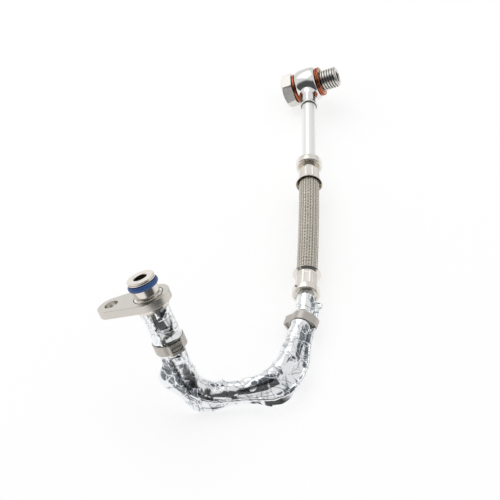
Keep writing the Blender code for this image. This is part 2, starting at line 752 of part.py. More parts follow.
def fin_height(distance):
    """How far the seam stands out from the cover."""
    stations = [
        (COVER_BEGIN, FIN_HEIGHT_START),
        (UPPER_CLAMP - BAND_WIDTH, FIN_HEIGHT_CLAMP),
        (UPPER_CLAMP + BAND_WIDTH / 2, FIN_HEIGHT_CLAMP),
        (CORNER_START, FIN_HEIGHT_CORNER),
        ((CORNER_START + CORNER_END) / 2, FIN_HEIGHT_CORNER),
        (CORNER_END, FIN_HEIGHT_END),
    ]
    return between(distance, stations)


def fold(distance):
    """How far the blunt fold outside the bends stands off the round cover, and which way it points."""
    reach = CORNER_END - CORNER_START
    rise = RISE_END - RISE_START
    heights = [
        (CORNER_START - reach * 0.4, 0.0),
        (CORNER_START + reach * 0.55, CORNER_FOLD),
        (CORNER_END, FLOOR_FOLD * 0.8),
        (RISE_START, FLOOR_FOLD),
        (RISE_START + rise * 0.36, FIRST_RISE_FOLD),
        (RISE_START + rise * 0.68, BETWEEN_RISE_FOLDS),
        (RISE_END, SECOND_RISE_FOLD),
        (RISE_END + rise * 0.4, 0.0),
    ]
    aims = [
        (CORNER_START + reach * 0.55, CORNER_FOLD_AIM),
        (CORNER_END, (CORNER_FOLD_AIM + FLOOR_FOLD_AIM) / 2),
        (RISE_START, FLOOR_FOLD_AIM),
        (RISE_START + rise * 0.36, FIRST_RISE_FOLD_AIM),
        (RISE_END, -RISE_BEND_ROLL),
    ]
    return between(distance, heights), between(distance, aims)


def folded_radius(angle, distance):
    """Radius of the cover with its fold: two flats that leave the round part and meet in an edge."""
    radius = cover_radius(distance)
    height, aim = fold(distance)
    away = abs((angle - aim + math.pi) % TURN - math.pi)
    tangent = math.acos(radius / (radius + height))
    if away < tangent:
        radius = radius / math.cos(tangent - away)
    beside = (angle - PINCH_AIM) / PINCH_SPREAD
    along = (distance - RISE_START) / PINCH_LENGTH
    return radius + PINCH_HEIGHT * max(0.0, 1 - abs(beside)) * max(0.0, 1 - abs(along))


def clamped(distance):
    """0 under a clamp's band, 1 away from it."""
    share = 1.0
    for middle in (UPPER_CLAMP, LOWER_CLAMP):
        away = abs(distance - middle) - BAND_WIDTH / 2 - GAP
        share = min(share, max(0.0, away / BAND_WIDTH))
    return share


def crumple(turned, distance):
    """Depth of the folds pressed into the foil, always inwards.

    Three slanted sets of sharp-edged waves cross each other, so the foil breaks into facets.
    """
    run = (distance - COVER_BEGIN) / MM
    depth = 0.0
    for rate, slant, phase, share in CRUMPLE_WAVES:
        swing = math.sin(rate * run + slant * TURN * turned + phase)
        depth += share * (1 - abs(swing)) ** CRUMPLE_SHARPNESS
    loose = between(distance, [(UPPER_CLAMP, 0.35), (CORNER_START, 0.7), (RISE_START, 1.0)])
    return CRUMPLE_DEPTH * depth * loose * clamped(distance)


def cover_section(turned, distance):
    """Round cover with a flat seam fin; the first five columns make the fin."""
    column = round(turned * COVER_COLUMNS)
    radius = folded_radius(FIN_ANGLE, distance)
    half = FIN_THICKNESS / 2
    reach = radius + fin_height(distance)
    sway = SEAM_SWAY * math.sin((distance - COVER_BEGIN) / MM * SEAM_SWAY_RATE) * clamped(distance)
    root = math.sqrt(radius * radius - half * half)
    fin = {
        0: (reach, sway),
        1: (reach - half * 0.6, half + sway),
        2: (root, half),
        COVER_COLUMNS - 2: (root, -half),
        COVER_COLUMNS - 1: (reach - half * 0.6, -half + sway),
    }
    if column in fin:
        x, y = fin[column]
    else:
        start = math.asin(half / radius)
        share = (column - 2) / (COVER_COLUMNS - 4)
        angle = start + (TURN - 2 * start) * share
        size = folded_radius(angle + FIN_ANGLE, distance) - crumple(angle / TURN, distance)
        x, y = size * math.cos(angle), size * math.sin(angle)
    turn_cos, turn_sin = math.cos(FIN_ANGLE), math.sin(FIN_ANGLE)
    return x * turn_cos - y * turn_sin, x * turn_sin + y * turn_cos


def cover_inner_radius(distance):
    """Inner radius: a plain bore that stays under the deepest fold and clear of the tube."""
    deepest = CRUMPLE_DEPTH * between(distance, [(UPPER_CLAMP, 0.0), (RISE_START, 0.9)])
    free = cover_radius(distance) - COVER_WALL - deepest
    return max(TUBE_RADIUS + GAP * 0.9, free)


def build_foil_sleeve(maker, foil):
    """The crumpled heat cover, one closed wall from the collar to the spigot's shoulder."""
    inner = round_section(cover_inner_radius)
    mesh = hollow_mesh(COVER_BEGIN, COVER_END, cover_section, inner, COVER_COLUMNS, COVER_RINGS,
                       COVER_BORE_RINGS)
    finish(maker.add("foil_sleeve", mesh, None, foil), 20)


def band_outline(radius, lobe, offset):
    """Points round the band: a circle with a lobe over the seam fin."""
    points = []
    half_fin = FIN_THICKNESS / 2 + offset
    sides = 36
    for index in range(sides):
        from_fin = TURN * index / sides - math.pi
        angle = FIN_ANGLE + from_fin
        size = radius + offset
        tip = radius + lobe + offset
        slope = math.acos((radius + offset - half_fin) / tip)
        if abs(from_fin) < slope:
            size = tip - (tip - size) * (abs(from_fin) / slope) ** 0.8
        points.append((size * math.cos(angle), size * math.sin(angle)))
    return points


def flat_mesh(loops, thickness):
    """A plate from closed outlines; the loops inside the first become its holes."""
    curve = bpy.data.curves.new("outline", "CURVE")
    curve.dimensions = "2D"
    curve.fill_mode = "BOTH"
    curve.extrude = thickness / 2
    for loop in loops:
        spline = curve.splines.new("POLY")
        spline.points.add(len(loop) - 1)
        for point, (x, y) in zip(spline.points, loop):
            point.co = (x, y, 0.0, 1.0)
        spline.use_cyclic_u = True
    source = bpy.data.objects.new("outline", curve)
    bpy.context.scene.collection.objects.link(source)
    bpy.context.view_layer.update()
    graph = bpy.context.evaluated_depsgraph_get()
    mesh = bpy.data.meshes.new_from_object(source.evaluated_get(graph))
    bpy.data.objects.remove(source)
    work = bmesh.new()
    work.from_mesh(mesh)
    bmesh.ops.remove_doubles(work, verts=work.verts, dist=MERGE_DISTANCE)
    bmesh.ops.recalc_face_normals(work, faces=work.faces)
    work.to_mesh(mesh)
    work.free()
    mesh.materials.clear()
    return mesh


def ear_points(radius, inner):
    """Outline of the ear, or of the window under it, with the ear at +X of the band's plane."""
    wall = BAND_THICKNESS if inner else 0.0
    seat = radius + BAND_THICKNESS * (1.0 if inner else 0.5)
    half = EAR_LENGTH / 2 - wall
    crest = EAR_CREST / 2 - wall
    top = radius + BAND_THICKNESS + EAR_HEIGHT - wall
    shoulder = EAR_HEIGHT / 4
    points = [(top - shoulder, -crest), (top, -crest + shoulder), (top, crest - shoulder),
              (top - shoulder, crest)]
    spread = math.asin(half / seat)
    count = 6
    for index in range(count + 1):
        angle = spread * (1 - 2 * index / count)
        points.append((seat * math.cos(angle), seat * math.sin(angle)))
    return points


def slot_points(length, width):
    """Outline with straight sides and round ends, along Y."""
    points = []
    straight = (length - width) / 2
    for side in (1, -1):
        for index in range(7):
            angle = math.pi * index / 6 + (0.0 if side > 0 else math.pi)
            points.append((width / 2 * math.cos(angle), side * straight + width / 2 * math.sin(angle)))
    return points


def build_ear_clamp(maker, name, distance, lobe, ear_angle, material):
    """A band with its raised ear: a window goes through under it, a long dimple is pressed on top."""
    radius = cover_radius(distance) + GAP
    frame = ROUTE.frame(distance)
    ear_frame = frame @ Matrix.Rotation(ear_angle, 4, "Z")
    rims = [band_outline(radius, lobe, BAND_THICKNESS), band_outline(radius, lobe, 0.0)]
    band = maker.add(name, flat_mesh(rims, BAND_WIDTH), frame, material)
    arch = flat_mesh([ear_points(radius, False)], BAND_WIDTH)
    maker.boolean(band, maker.cutter(name + "_ear", arch, ear_frame), "UNION")
    window = flat_mesh([ear_points(radius, True)], BAND_WIDTH * 2)
    maker.boolean(band, maker.cutter(name + "_window", window, ear_frame), "DIFFERENCE")
    crest = Matrix.Translation((radius + BAND_THICKNESS + EAR_HEIGHT, 0, 0)) @ Matrix.Rotation(math.pi / 2, 4, "Y")
    dimple = flat_mesh([slot_points(EAR_DIMPLE_LENGTH, EAR_DIMPLE_WIDTH)], EAR_DIMPLE_DEPTH * 2)
    maker.boolean(band, maker.cutter(name + "_dimple", dimple, ear_frame @ crest), "DIFFERENCE")
    return band


def build_flange_plate(maker, steel):
    """One-bolt plate: a big end round the spigot and a small end round the bolt hole."""
    big = PLATE_SPIGOT_END_RADIUS
    small = PLATE_BOLT_END_RADIUS
    spacing = PLATE_HOLE_SPACING
    lean = math.asin((big - small) / spacing)
    outline = []
    for index in range(19):
        angle = math.pi / 2 - lean + (math.pi + 2 * lean) * index / 18
        outline.append((big * math.cos(angle), big * math.sin(angle)))
    for index in range(13):
        angle = -math.pi / 2 + lean + (math.pi - 2 * lean) * index / 12
        outline.append((spacing + small * math.cos(angle), small * math.sin(angle)))

    def circle(centre, radius, sides):
        return [(centre + radius * math.cos(TURN * i / sides), radius * math.sin(TURN * i / sides))
                for i in range(sides)]

    loops = [outline, circle(0.0, SPIGOT_HUB / 2 + GAP, STEPS), circle(spacing, PLATE_BOLT_HOLE / 2, 20)]
    middle = (PLATE_TOP + PLATE_BOTTOM) / 2
    frame = ROUTE.frame(middle) @ Matrix.Rotation(PLATE_TURN, 4, "Z")
    plate = maker.add("flange_plate", flat_mesh(loops, PLATE_THICKNESS), frame, steel)
    bevel = plate.modifiers.new("edge", "BEVEL")
    bevel.width = PLATE_EDGE
    bevel.segments = 1
    bevel.limit_method = "ANGLE"
    bevel.angle_limit = 60 * DEG
    return plate


def build_spigot(maker, steel):
    """Turned end fitting: lands, O-ring groove, shaft, hub in the plate, shoulder and tail."""
    tip = 0.0
    land = SPIGOT_DIAMETER / 2
    shaft = SPIGOT_SHAFT / 2
    bore = SPIGOT_BORE / 2
    hub = SPIGOT_HUB / 2
    shoulder = SHOULDER_DIAMETER / 2
    tail = SOCKET_BORE_RADIUS + TAIL_WALL
    floor = ORING_DIAMETER / 2 - ORING_SECTION - GAP
    soft = LAND_WIDTH / 3
    first_land = tip - LAND_WIDTH
    second_land = first_land - LAND_GROOVE_WIDTH
    groove_top = second_land - LAND_WIDTH * 0.7
    groove_bottom = groove_top - ORING_SECTION - 2 * GAP
    plate_top = -SPIGOT_HEIGHT
    plate_bottom = plate_top - PLATE_THICKNESS
    shoulder_top = plate_bottom - GAP
    shoulder_bottom = shoulder_top - SHOULDER_THICKNESS
    tail_bottom = shoulder_bottom - TAIL_LENGTH
    points = [
        (bore, tip),
        (land - soft, tip),
        (land, tip - soft),
        (land, first_land),
        (land - LAND_GROOVE_DEPTH, first_land),
        (land - LAND_GROOVE_DEPTH, second_land),
        (land, second_land),
        (land, groove_top),
        (floor, groove_top),
        (floor, groove_bottom),
        (shaft, groove_bottom),
        (shaft, plate_top + (hub - shaft)),
        (hub, plate_top),
        (hub, shoulder_top),
        (shoulder, shoulder_top),
        (shoulder, shoulder_bottom),
        (tail, shoulder_bottom),
        (tail, tail_bottom),
        (SOCKET_BORE_RADIUS, tail_bottom),
        (SOCKET_BORE_RADIUS, shoulder_bottom),
        (bore, shoulder_bottom),
    ]
    return turn(maker.add("spigot", profile_mesh(points), ROUTE.frame(ROUTE.length), steel))


def build_o_ring(maker, rubber):
    """Ring in the spigot's groove."""
    section = ORING_SECTION / 2
    ring = ORING_DIAMETER / 2 - section
    top = -LAND_WIDTH * 1.7 - LAND_GROOVE_WIDTH
    middle = top - GAP - section
    sides = 8
    points = [(ring + section * math.cos(-TURN * i / sides), middle + section * math.sin(-TURN * i / sides))
              for i in range(sides)]
    return turn(maker.add("o_ring", profile_mesh(points), ROUTE.frame(ROUTE.length), rubber), 28)


def world_points(piece):
    """All corners of a finished piece, in the scene's frame."""
    graph = bpy.context.evaluated_depsgraph_get()
    ready = piece.evaluated_get(graph)
    mesh = ready.to_mesh()
    points = [ready.matrix_world @ vert.co for vert in mesh.vertices]
    ready.to_mesh_clear()
    return points


def lay_down(maker):
    """Turn the whole line until three points touch the floor, as it comes to rest.

    One point is on the banjo end, one on each side of the cover's run along the floor.
    """
    middle = ROUTE.frame((CORNER_END + RISE_START) / 2).translation
    halfway = ROUTE.frame(LOWER_MOUTH).translation
    carrier = maker.carrier
    groups = {"banjo": [], "corner": [], "rise": []}
    for piece in maker.parts.objects:
        if piece.type != "MESH":
            continue
        for point in world_points(piece):
            if point.y > halfway.y:
                groups["banjo"].append(point)
            elif point.x > middle.x:
                groups["corner"].append(point)
            else:
                groups["rise"].append(point)
    for _ in range(8):
        place = carrier.matrix_world.copy()
        touch = [min((place @ point for point in points), key=lambda p: p.z) for points in groups.values()]
        normal = (touch[1] - touch[0]).cross(touch[2] - touch[0]).normalized()
        if normal.z < 0:
            normal.negate()
        level = normal.rotation_difference(Vector((0, 0, 1))).to_matrix().to_4x4()
        carrier.matrix_world = level @ place
    bpy.context.view_layer.update()


def centre_on_floor(maker):
    """Put the middle of the line's footprint at the origin and its lowest point on the floor."""
    everything = []
    for piece in maker.parts.objects:
        if piece.type == "MESH":
            everything.extend(world_points(piece))
    low = [min(point[axis] for point in everything) for axis in range(3)]
    high = [max(point[axis] for point in everything) for axis in range(3)]
    shift = Vector((-(low[0] + high[0]) / 2, -(low[1] + high[1]) / 2, -low[2]))
    maker.carrier.matrix_world = Matrix.Translation(shift) @ maker.carrier.matrix_world
    bpy.context.view_layer.update()


def main():
    """Build every piece, then lay the line down."""
    for item in list(bpy.data.objects):
        bpy.data.objects.remove(item)
    maker = Maker()
    plated = make_material("plated_steel", (0.62, 0.60, 0.56), 0.32, 1.0)
    polished = make_material("polished_steel", (0.78, 0.78, 0.76), 0.18, 1.0)
    bright = make_material("bright_tube", (0.84, 0.84, 0.82), 0.25, 1.0)
    copper = make_material("copper", (0.72, 0.30, 0.14), 0.35, 1.0)
    crimped = make_material("crimped_steel", (0.70, 0.66, 0.60), 0.30, 1.0)
    braid = make_material("stainless_braid", (0.45, 0.42, 0.37), 0.38, 1.0)
    liner = make_material("hose_liner_rubber", (0.03, 0.03, 0.03), 0.6, 0.0)
    foil = make_material("aluminised_foil", (0.86, 0.88, 0.90), 0.16, 1.0)
    band = make_material("band_steel", (0.56, 0.52, 0.47), 0.33, 1.0)
    plate = make_material("flange_steel", (0.60, 0.56, 0.51), 0.40, 1.0)
    turned = make_material("spigot_steel", (0.74, 0.71, 0.65), 0.20, 1.0)
    blue = make_material("blue_rubber", (0.02, 0.08, 0.27), 0.42, 0.0)

    build_banjo_bolt(maker, plated)
    build_washers(maker, copper)
    build_banjo_eye(maker, polished)
    build_upper_tube(maker, bright)
    build_nipples(maker, crimped)
    build_ferrules(maker, crimped)
    build_hose(maker, braid, liner)
    build_lower_tube(maker, bright)
    build_foil_sleeve(maker, foil)
    lobe = FIN_HEIGHT_CLAMP
    build_ear_clamp(maker, "upper_ear_clamp", UPPER_CLAMP, lobe, UPPER_CLAMP_EAR_ANGLE, band)
    build_ear_clamp(maker, "lower_ear_clamp", LOWER_CLAMP, FIN_HEIGHT_END, LOWER_CLAMP_EAR_ANGLE, band)
    build_flange_plate(maker, plate)
    build_spigot(maker, turned)
    build_o_ring(maker, blue)

    lay_down(maker)
    centre_on_floor(maker)


main()
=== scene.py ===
# %% [markdown]
# # Turbo oil feed line
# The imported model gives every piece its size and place. This script dresses it: each piece that shows
# is modelled again with smooth, fine surfaces, and each metal gets its own finish.

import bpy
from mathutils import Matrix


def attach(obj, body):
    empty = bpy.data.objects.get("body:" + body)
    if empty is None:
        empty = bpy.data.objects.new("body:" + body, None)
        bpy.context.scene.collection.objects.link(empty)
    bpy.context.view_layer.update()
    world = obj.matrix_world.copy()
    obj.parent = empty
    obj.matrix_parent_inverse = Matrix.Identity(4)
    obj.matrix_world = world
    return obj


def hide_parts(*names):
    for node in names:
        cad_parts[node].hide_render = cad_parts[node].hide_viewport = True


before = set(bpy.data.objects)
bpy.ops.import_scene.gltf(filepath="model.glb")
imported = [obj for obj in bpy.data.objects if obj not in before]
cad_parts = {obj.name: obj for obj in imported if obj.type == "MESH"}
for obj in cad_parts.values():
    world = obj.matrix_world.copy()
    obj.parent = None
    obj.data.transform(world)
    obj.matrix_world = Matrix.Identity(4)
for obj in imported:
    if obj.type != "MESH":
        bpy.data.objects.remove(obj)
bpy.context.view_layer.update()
print("nodes:", len(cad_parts))

# %% [markdown]
# ## Units and angles
# Sizes are written in millimetres and turned into metres only where a mesh is made.

# %% Units
import math

import bpy
import numpy as np
from mathutils import Matrix, Vector

MM = 0.001
DEG = math.pi / 180.0
TURN = 2.0 * math.pi
GAP = 0.3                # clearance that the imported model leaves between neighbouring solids


def polar(radius, angle, centre=(0.0, 0.0)):
    """The point at a radius and an angle round a centre."""
    return centre[0] + radius * math.cos(angle), centre[1] + radius * math.sin(angle)


def arc(centre, radius, begin, end, count=5):
    """Points on an arc; angles in degrees, from the first axis."""
    return [polar(radius, (begin + (end - begin) * i / count) * DEG, centre) for i in range(count + 1)]


print("one millimetre:", MM, "m")

# %% [markdown]
# ## The camera
# The photograph looks down on the line at about 44 degrees, from far away with a long lens. Depth of
# field stays off, so any other view of the model is sharp too.

# %% Camera
LOOK_AT = Vector((8.96, -11.10, 0.0)) * MM
CAMERA_DISTANCE = 773.5 * MM
CAMERA_ELEVATION = 44.13 * DEG
CAMERA_AZIMUTH = -0.38 * DEG
CAMERA_ROLL = -0.49 * DEG
SENSOR = 36.0
PIXEL_FOCAL = 1479.5
IMAGE_WIDTH = 500.0

camera_data = bpy.data.cameras.new("camera")
camera_data.sensor_width = SENSOR
camera_data.lens = PIXEL_FOCAL / IMAGE_WIDTH * SENSOR
camera_data.clip_start = 0.01
camera = bpy.data.objects.new("camera", camera_data)
bpy.context.scene.collection.objects.link(camera)
tilt = Matrix.Rotation(-CAMERA_AZIMUTH, 4, "Z") @ Matrix.Rotation(math.pi / 2 - CAMERA_ELEVATION, 4, "X")
away = Matrix.Translation((0, 0, CAMERA_DISTANCE))
camera.matrix_world = Matrix.Translation(LOOK_AT) @ tilt @ away @ Matrix.Rotation(CAMERA_ROLL, 4, "Z")
bpy.context.scene.camera = camera
bpy.context.scene.view_settings.view_transform = "Standard"
print("lens:", round(camera_data.lens, 1))

# %% [markdown]
# ## The studio
# A white tent lights the metal from all round. Polished metal shows what it mirrors: the tent's wide open
# front, where the camera stands, makes the faces that look at the camera dark, and a faint gap low at the
# back, to the right, puts a grey stripe on the bright tubes. Each value below is a share of the sky's
# height or of the way to the front, from where the darkness begins to where it is full.

# %% Studio
OPEN_FRONT_SIDES = (0.10, 0.42)
OPEN_FRONT_FOOT = (-0.05, 0.03)
OPEN_FRONT_TOP = (0.80, 0.97)
OPEN_FRONT_DARKNESS = 0.90
BACK_GAP = Vector((0.50, 0.87, 0.0)).normalized()
BACK_GAP_ANGLES = (30.0, 44.0)
BACK_GAP_FOOT = (-0.14, -0.05)
BACK_GAP_TOP = (0.18, 0.34)
BACK_GAP_DARKNESS = 0.22
FILL_LEVEL = 0.75

world = bpy.data.worlds.new("studio")
bpy.context.scene.world = world
world.use_nodes = True
sky = world.node_tree
sky.nodes.clear()


def sky_node(kind, inputs, **settings):
    """Outputs of a new node of the sky; an input takes a plain value or another node's output."""
    made = sky.nodes.new("ShaderNode" + kind)
    for name, setting in settings.items():
        setattr(made, name, setting)
    for name, value in inputs.items():
        if isinstance(value, bpy.types.NodeSocket):
            sky.links.new(value, made.inputs[name])
        else:
            made.inputs[name].default_value = value
    return made.outputs


def sky_ramp(value, low, high):
    """0 below low, 1 above high."""
    inputs = {"Value": value, "From Min": low, "From Max": high}
    return sky_node("MapRange", inputs, interpolation_type="SMOOTHSTEP")["Result"]


def sky_math(operation, *values):
    return sky_node("Math", dict(enumerate(values)), operation=operation)["Value"]


# %% [markdown]
# The floor and the shadows get an even light. Only what the metal mirrors sees the dark parts of the tent,
# and the camera itself sees plain white behind everything.

# %% Tent
direction = sky_node("TexCoord", {})["Generated"]
split = sky_node("SeparateXYZ", {"Vector": direction})


def band(foot, top):
    """1 between two heights of the sky."""
    below_top = sky_math("SUBTRACT", 1.0, sky_ramp(split["Z"], *top))
    return sky_math("MULTIPLY", sky_ramp(split["Z"], *foot), below_top)


def near(aim, angles):
    """1 within the first angle of a direction, 0 outside the second."""
    closeness = sky_node("VectorMath", {0: direction, 1: aim}, operation="DOT_PRODUCT")["Value"]
    return sky_ramp(closeness, math.cos(angles[1] * DEG), math.cos(angles[0] * DEG))


to_front = sky_math("MULTIPLY", split["Y"], -1.0)
front = sky_math("MULTIPLY", sky_ramp(to_front, *OPEN_FRONT_SIDES), band(OPEN_FRONT_FOOT, OPEN_FRONT_TOP))
front = sky_math("MULTIPLY", front, OPEN_FRONT_DARKNESS)
back_gap = sky_math("MULTIPLY", near(BACK_GAP, BACK_GAP_ANGLES), band(BACK_GAP_FOOT, BACK_GAP_TOP))
darkness = sky_math("MAXIMUM", front, sky_math("MULTIPLY", back_gap, BACK_GAP_DARKNESS))
tent = sky_math("SUBTRACT", 1.0, darkness)
mirrored = sky_node("Background", {"Strength": tent})["Background"]
fill = sky_node("Background", {"Strength": FILL_LEVEL})["Background"]
backdrop = sky_node("Background", {})["Background"]
rays = sky_node("LightPath", {})
lit = sky_node("MixShader", {"Fac": rays["Is Glossy Ray"], 1: fill, 2: mirrored})["Shader"]
seen = sky_node("MixShader", {"Fac": rays["Is Camera Ray"], 1: lit, 2: backdrop})["Shader"]
sky_node("OutputWorld", {"Surface": seen})
print("sky nodes:", len(sky.nodes))

# %% [markdown]
# ## Terms
# A finish is one material with a Principled shader. A term wraps a socket, so that patterns can be
# written as sums: `mask * 0.3 + 0.2` adds the Math nodes by itself.

# %% Terms and finishes
class Term:
    """A node's output that takes part in sums."""

    def __init__(self, finish, socket):
        self.finish = finish
        self.socket = socket

    def math(self, operation, other):
        return self.finish.node("Math", {"operation": operation}, {0: self, 1: other})

    def __add__(self, other):
        return self.math("ADD", other)

    def __sub__(self, other):
        return self.math("SUBTRACT", other)

    def __mul__(self, other):
        return self.math("MULTIPLY", other)

    def between(self, low, high):
        """0 below low, 1 above high, smooth between."""
        return self.finish.node("MapRange", {"interpolation_type": "SMOOTHSTEP"},
                                {"Value": self, "From Min": low, "From Max": high})


class Finish:
    """One material; its sockets take numbers, colours or terms."""

    def __init__(self, name, colour, roughness, metallic):
        self.slot = name
        self.material = bpy.data.materials.new("fine_" + name)
        self.material.use_nodes = True
        self.tree = self.material.node_tree
        self.shader = self.tree.nodes["Principled BSDF"]
        self.feed("Base Color", colour)
        self.feed("Roughness", roughness)
        self.feed("Metallic", metallic)

    def put(self, socket, value):
        if isinstance(value, Term):
            self.tree.links.new(value.socket, socket)
        elif isinstance(value, tuple) and len(value) == 3 and socket.type == "RGBA":
            socket.default_value = (*value, 1.0)
        else:
            socket.default_value = value

    def feed(self, name, value):
        self.put(self.shader.inputs[name], value)

    def node(self, kind, settings, values, output=0):
        made = self.tree.nodes.new("ShaderNode" + kind)
        for name, setting in settings.items():
            setattr(made, name, setting)
        for name, value in values.items():
            self.put(made.inputs[name], value)
        return Term(self, made.outputs[output])

    def place(self):
        """Where a point is on its own piece, in millimetres along and across its axis."""
        return self.node("Attribute", {"attribute_name": "local"}, {}, "Vector")

    def note(self, label):
        """A number that the mesh keeps at each corner."""
        return self.node("Attribute", {"attribute_name": label}, {}, "Fac")

    def stretched(self, x, y, z):
        """The same place with its three directions scaled, for grain that runs one way."""
        return self.node("VectorMath", {"operation": "MULTIPLY"}, {0: self.place(), 1: (x, y, z)})

    def speckle(self, vector, scale, detail=3.0):
        return self.node("TexNoise", {}, {"Vector": vector, "Scale": scale, "Detail": detail})

    def blend(self, share, first, second):
        """A colour between two colours."""
        return self.node("Mix", {"data_type": "RGBA"}, {"Factor": share, 6: first, 7: second}, 2)

    def bump(self, height, strength, distance):
        inputs = {"Height": height, "Strength": strength, "Distance": distance}
        self.feed("Normal", self.node("Bump", {}, inputs))


# %% [markdown]
# ## Finishes
# Drawn, turned, rolled and pressed metal all scatter light along their own direction. The grain is noise
# that is stretched along the tool's path: round the axis on turned pieces, along it on drawn tube.

# %% Finishes
GRAIN_HEIGHT = 0.00004
CLOUD_SCALE = 0.35


def grained(name, colour, roughness, grain, shade=0.12, spread=0.10, relief=0.15):
    """Metal with a directional grain: grain gives the noise scale along x, y and z, per millimetre."""
    finish = Finish(name, colour, roughness, 1.0)
    lines = finish.speckle(finish.stretched(*grain), 1.0)
    cloud = finish.speckle(finish.place(), CLOUD_SCALE, 2.0)
    dark = tuple(channel * (1 - shade) for channel in colour)
    light = tuple(min(1.0, channel * (1 + shade * 0.5)) for channel in colour)
    finish.feed("Base Color", finish.blend(lines * 0.6 + cloud * 0.4, dark, light))
    finish.feed("Roughness", (lines - 0.5) * spread + (cloud - 0.5) * spread + roughness)
    finish.bump(lines, relief, GRAIN_HEIGHT)
    return finish


PLATED = grained("plated_steel", (0.72, 0.70, 0.66), 0.22, (1.2, 1.2, 1.2), 0.08, 0.06, 0.05)
POLISHED = grained("polished_steel", (0.84, 0.84, 0.83), 0.11, (0.8, 0.8, 0.8), 0.05, 0.05, 0.04)
DRAWN = grained("bright_tube", (0.95, 0.95, 0.93), 0.36, (9.0, 9.0, 0.25), 0.06, 0.10, 0.10)
PRESSED = grained("crimped_steel", (0.84, 0.80, 0.74), 0.24, (2.0, 2.0, 3.0), 0.10)
WOVEN = grained("stainless_braid", (0.70, 0.65, 0.57), 0.27, (2.0, 2.0, 2.0), 0.15, 0.10)
ROLLED = grained("band_steel", (0.52, 0.49, 0.45), 0.30, (0.6, 0.6, 9.0), 0.12)
GROUND = grained("flange_steel", (0.66, 0.63, 0.58), 0.25, (2.4, 0.5, 2.4), 0.10, 0.10, 0.06)
TURNED = grained("spigot_steel", (0.80, 0.76, 0.70), 0.14, (0.4, 0.4, 14.0), 0.06, 0.05, 0.05)
COPPER = grained("copper", (0.50, 0.15, 0.07), 0.20, (0.7, 0.7, 6.0), 0.35, 0.15)
FOIL = grained("aluminised_foil", (0.92, 0.94, 0.96), 0.17, (1.8, 1.8, 1.8), 0.05, 0.10, 0.35)
RUBBER = Finish("hose_liner_rubber", (0.03, 0.03, 0.03), 0.6, 0.0)
BLUE = Finish("blue_rubber", (0.025, 0.085, 0.26), 0.36, 0.0)

# %% [markdown]
# Three metals take their colour from a note that the mesh keeps, with painted shade: the thread's groove is
# painted dark, the braid is painted dark between its wires, and the foil has random facet tone with painted
# reflections, painted shade and painted highlights. The blue rubber is slightly cloudy.

# %% Colours that follow the mesh
blue_cloud = BLUE.speckle(BLUE.place(), 0.8)
BLUE.feed("Base Color", BLUE.blend(blue_cloud, (0.018, 0.065, 0.21), (0.035, 0.11, 0.33)))
BLUE.feed("Roughness", blue_cloud * 0.2 + 0.28)
# Painted shade: the thread's groove is coloured almost black.
painted_groove_shade = PLATED.note("groove").between(0.15, 0.6)
PLATED.feed("Base Color", PLATED.blend(painted_groove_shade, (0.72, 0.70, 0.66), (0.05, 0.045, 0.04)))
# Painted shade: the braid is coloured dark between its wires and where strands pass under others.
painted_gap_shade_mask = WOVEN.note("crown").between(-0.06, 0.24)
WOVEN.feed("Base Color", WOVEN.blend(painted_gap_shade_mask, (0.05, 0.043, 0.036), (0.80, 0.75, 0.66)))
# The foil's colour: random facet tone, painted reflections, painted shade in valleys and painted highlights on
# ridges.
FOIL.feed("Base Color", FOIL.blend(FOIL.note("crease"), (0.93, 0.945, 0.96), (0.11, 0.13, 0.15)))
print("finishes:", len(bpy.data.materials))

# %% [markdown]
# ## The route
# The line is laid out as a tube bender does it: straight runs and bends, one after the other. The same
# walk is repeated here, so that fine meshes can be wrapped along it.

# %% Route
EYE_HALF = 6.0
SOCKET_REACH = 19.5
SOCKET_DEPTH = 8.0
UPPER_TUBE_SHOWN = 46.9
COLLAR_LENGTH = 4.3
UPPER_NECK = 3.4
LOWER_NECK = 0.5
FERRULE_LENGTH = 9.8
BRAID_SHOWN = 65.5
TUBE_SEAT = 3.0
TUBE_RADIUS = 4.0
RUN_TO_CLAMP_BEND = 7.8
CLAMP_BEND = 12.6 * DEG
CLAMP_BEND_RADIUS = 40.0
RUN_TO_CORNER = 24.4
CORNER_BEND = 66.7 * DEG
CORNER_BEND_RADIUS = 27.5
FLOOR_RUN = 9.0
RISE_BEND = 71.5 * DEG
RISE_BEND_RADIUS = 19.0
RISE_BEND_ROLL = 63.9 * DEG
LEG_TO_FLANGE = 37.4
PLATE_THICKNESS = 4.0
SPIGOT_HEIGHT = 9.8
HOSE_BEND = 2.4 * DEG
HOSE_BEND_ROLL = -23.0 * DEG
START_YAW = 1.4 * DEG
START_PITCH = -1.5 * DEG

UPPER_COLLAR = SOCKET_REACH + UPPER_TUBE_SHOWN
UPPER_FERRULE = UPPER_COLLAR + COLLAR_LENGTH + UPPER_NECK
UPPER_MOUTH = UPPER_FERRULE + FERRULE_LENGTH
LOWER_MOUTH = UPPER_MOUTH + BRAID_SHOWN
LOWER_FERRULE_END = LOWER_MOUTH + FERRULE_LENGTH
LOWER_COLLAR_END = LOWER_FERRULE_END + LOWER_NECK + COLLAR_LENGTH


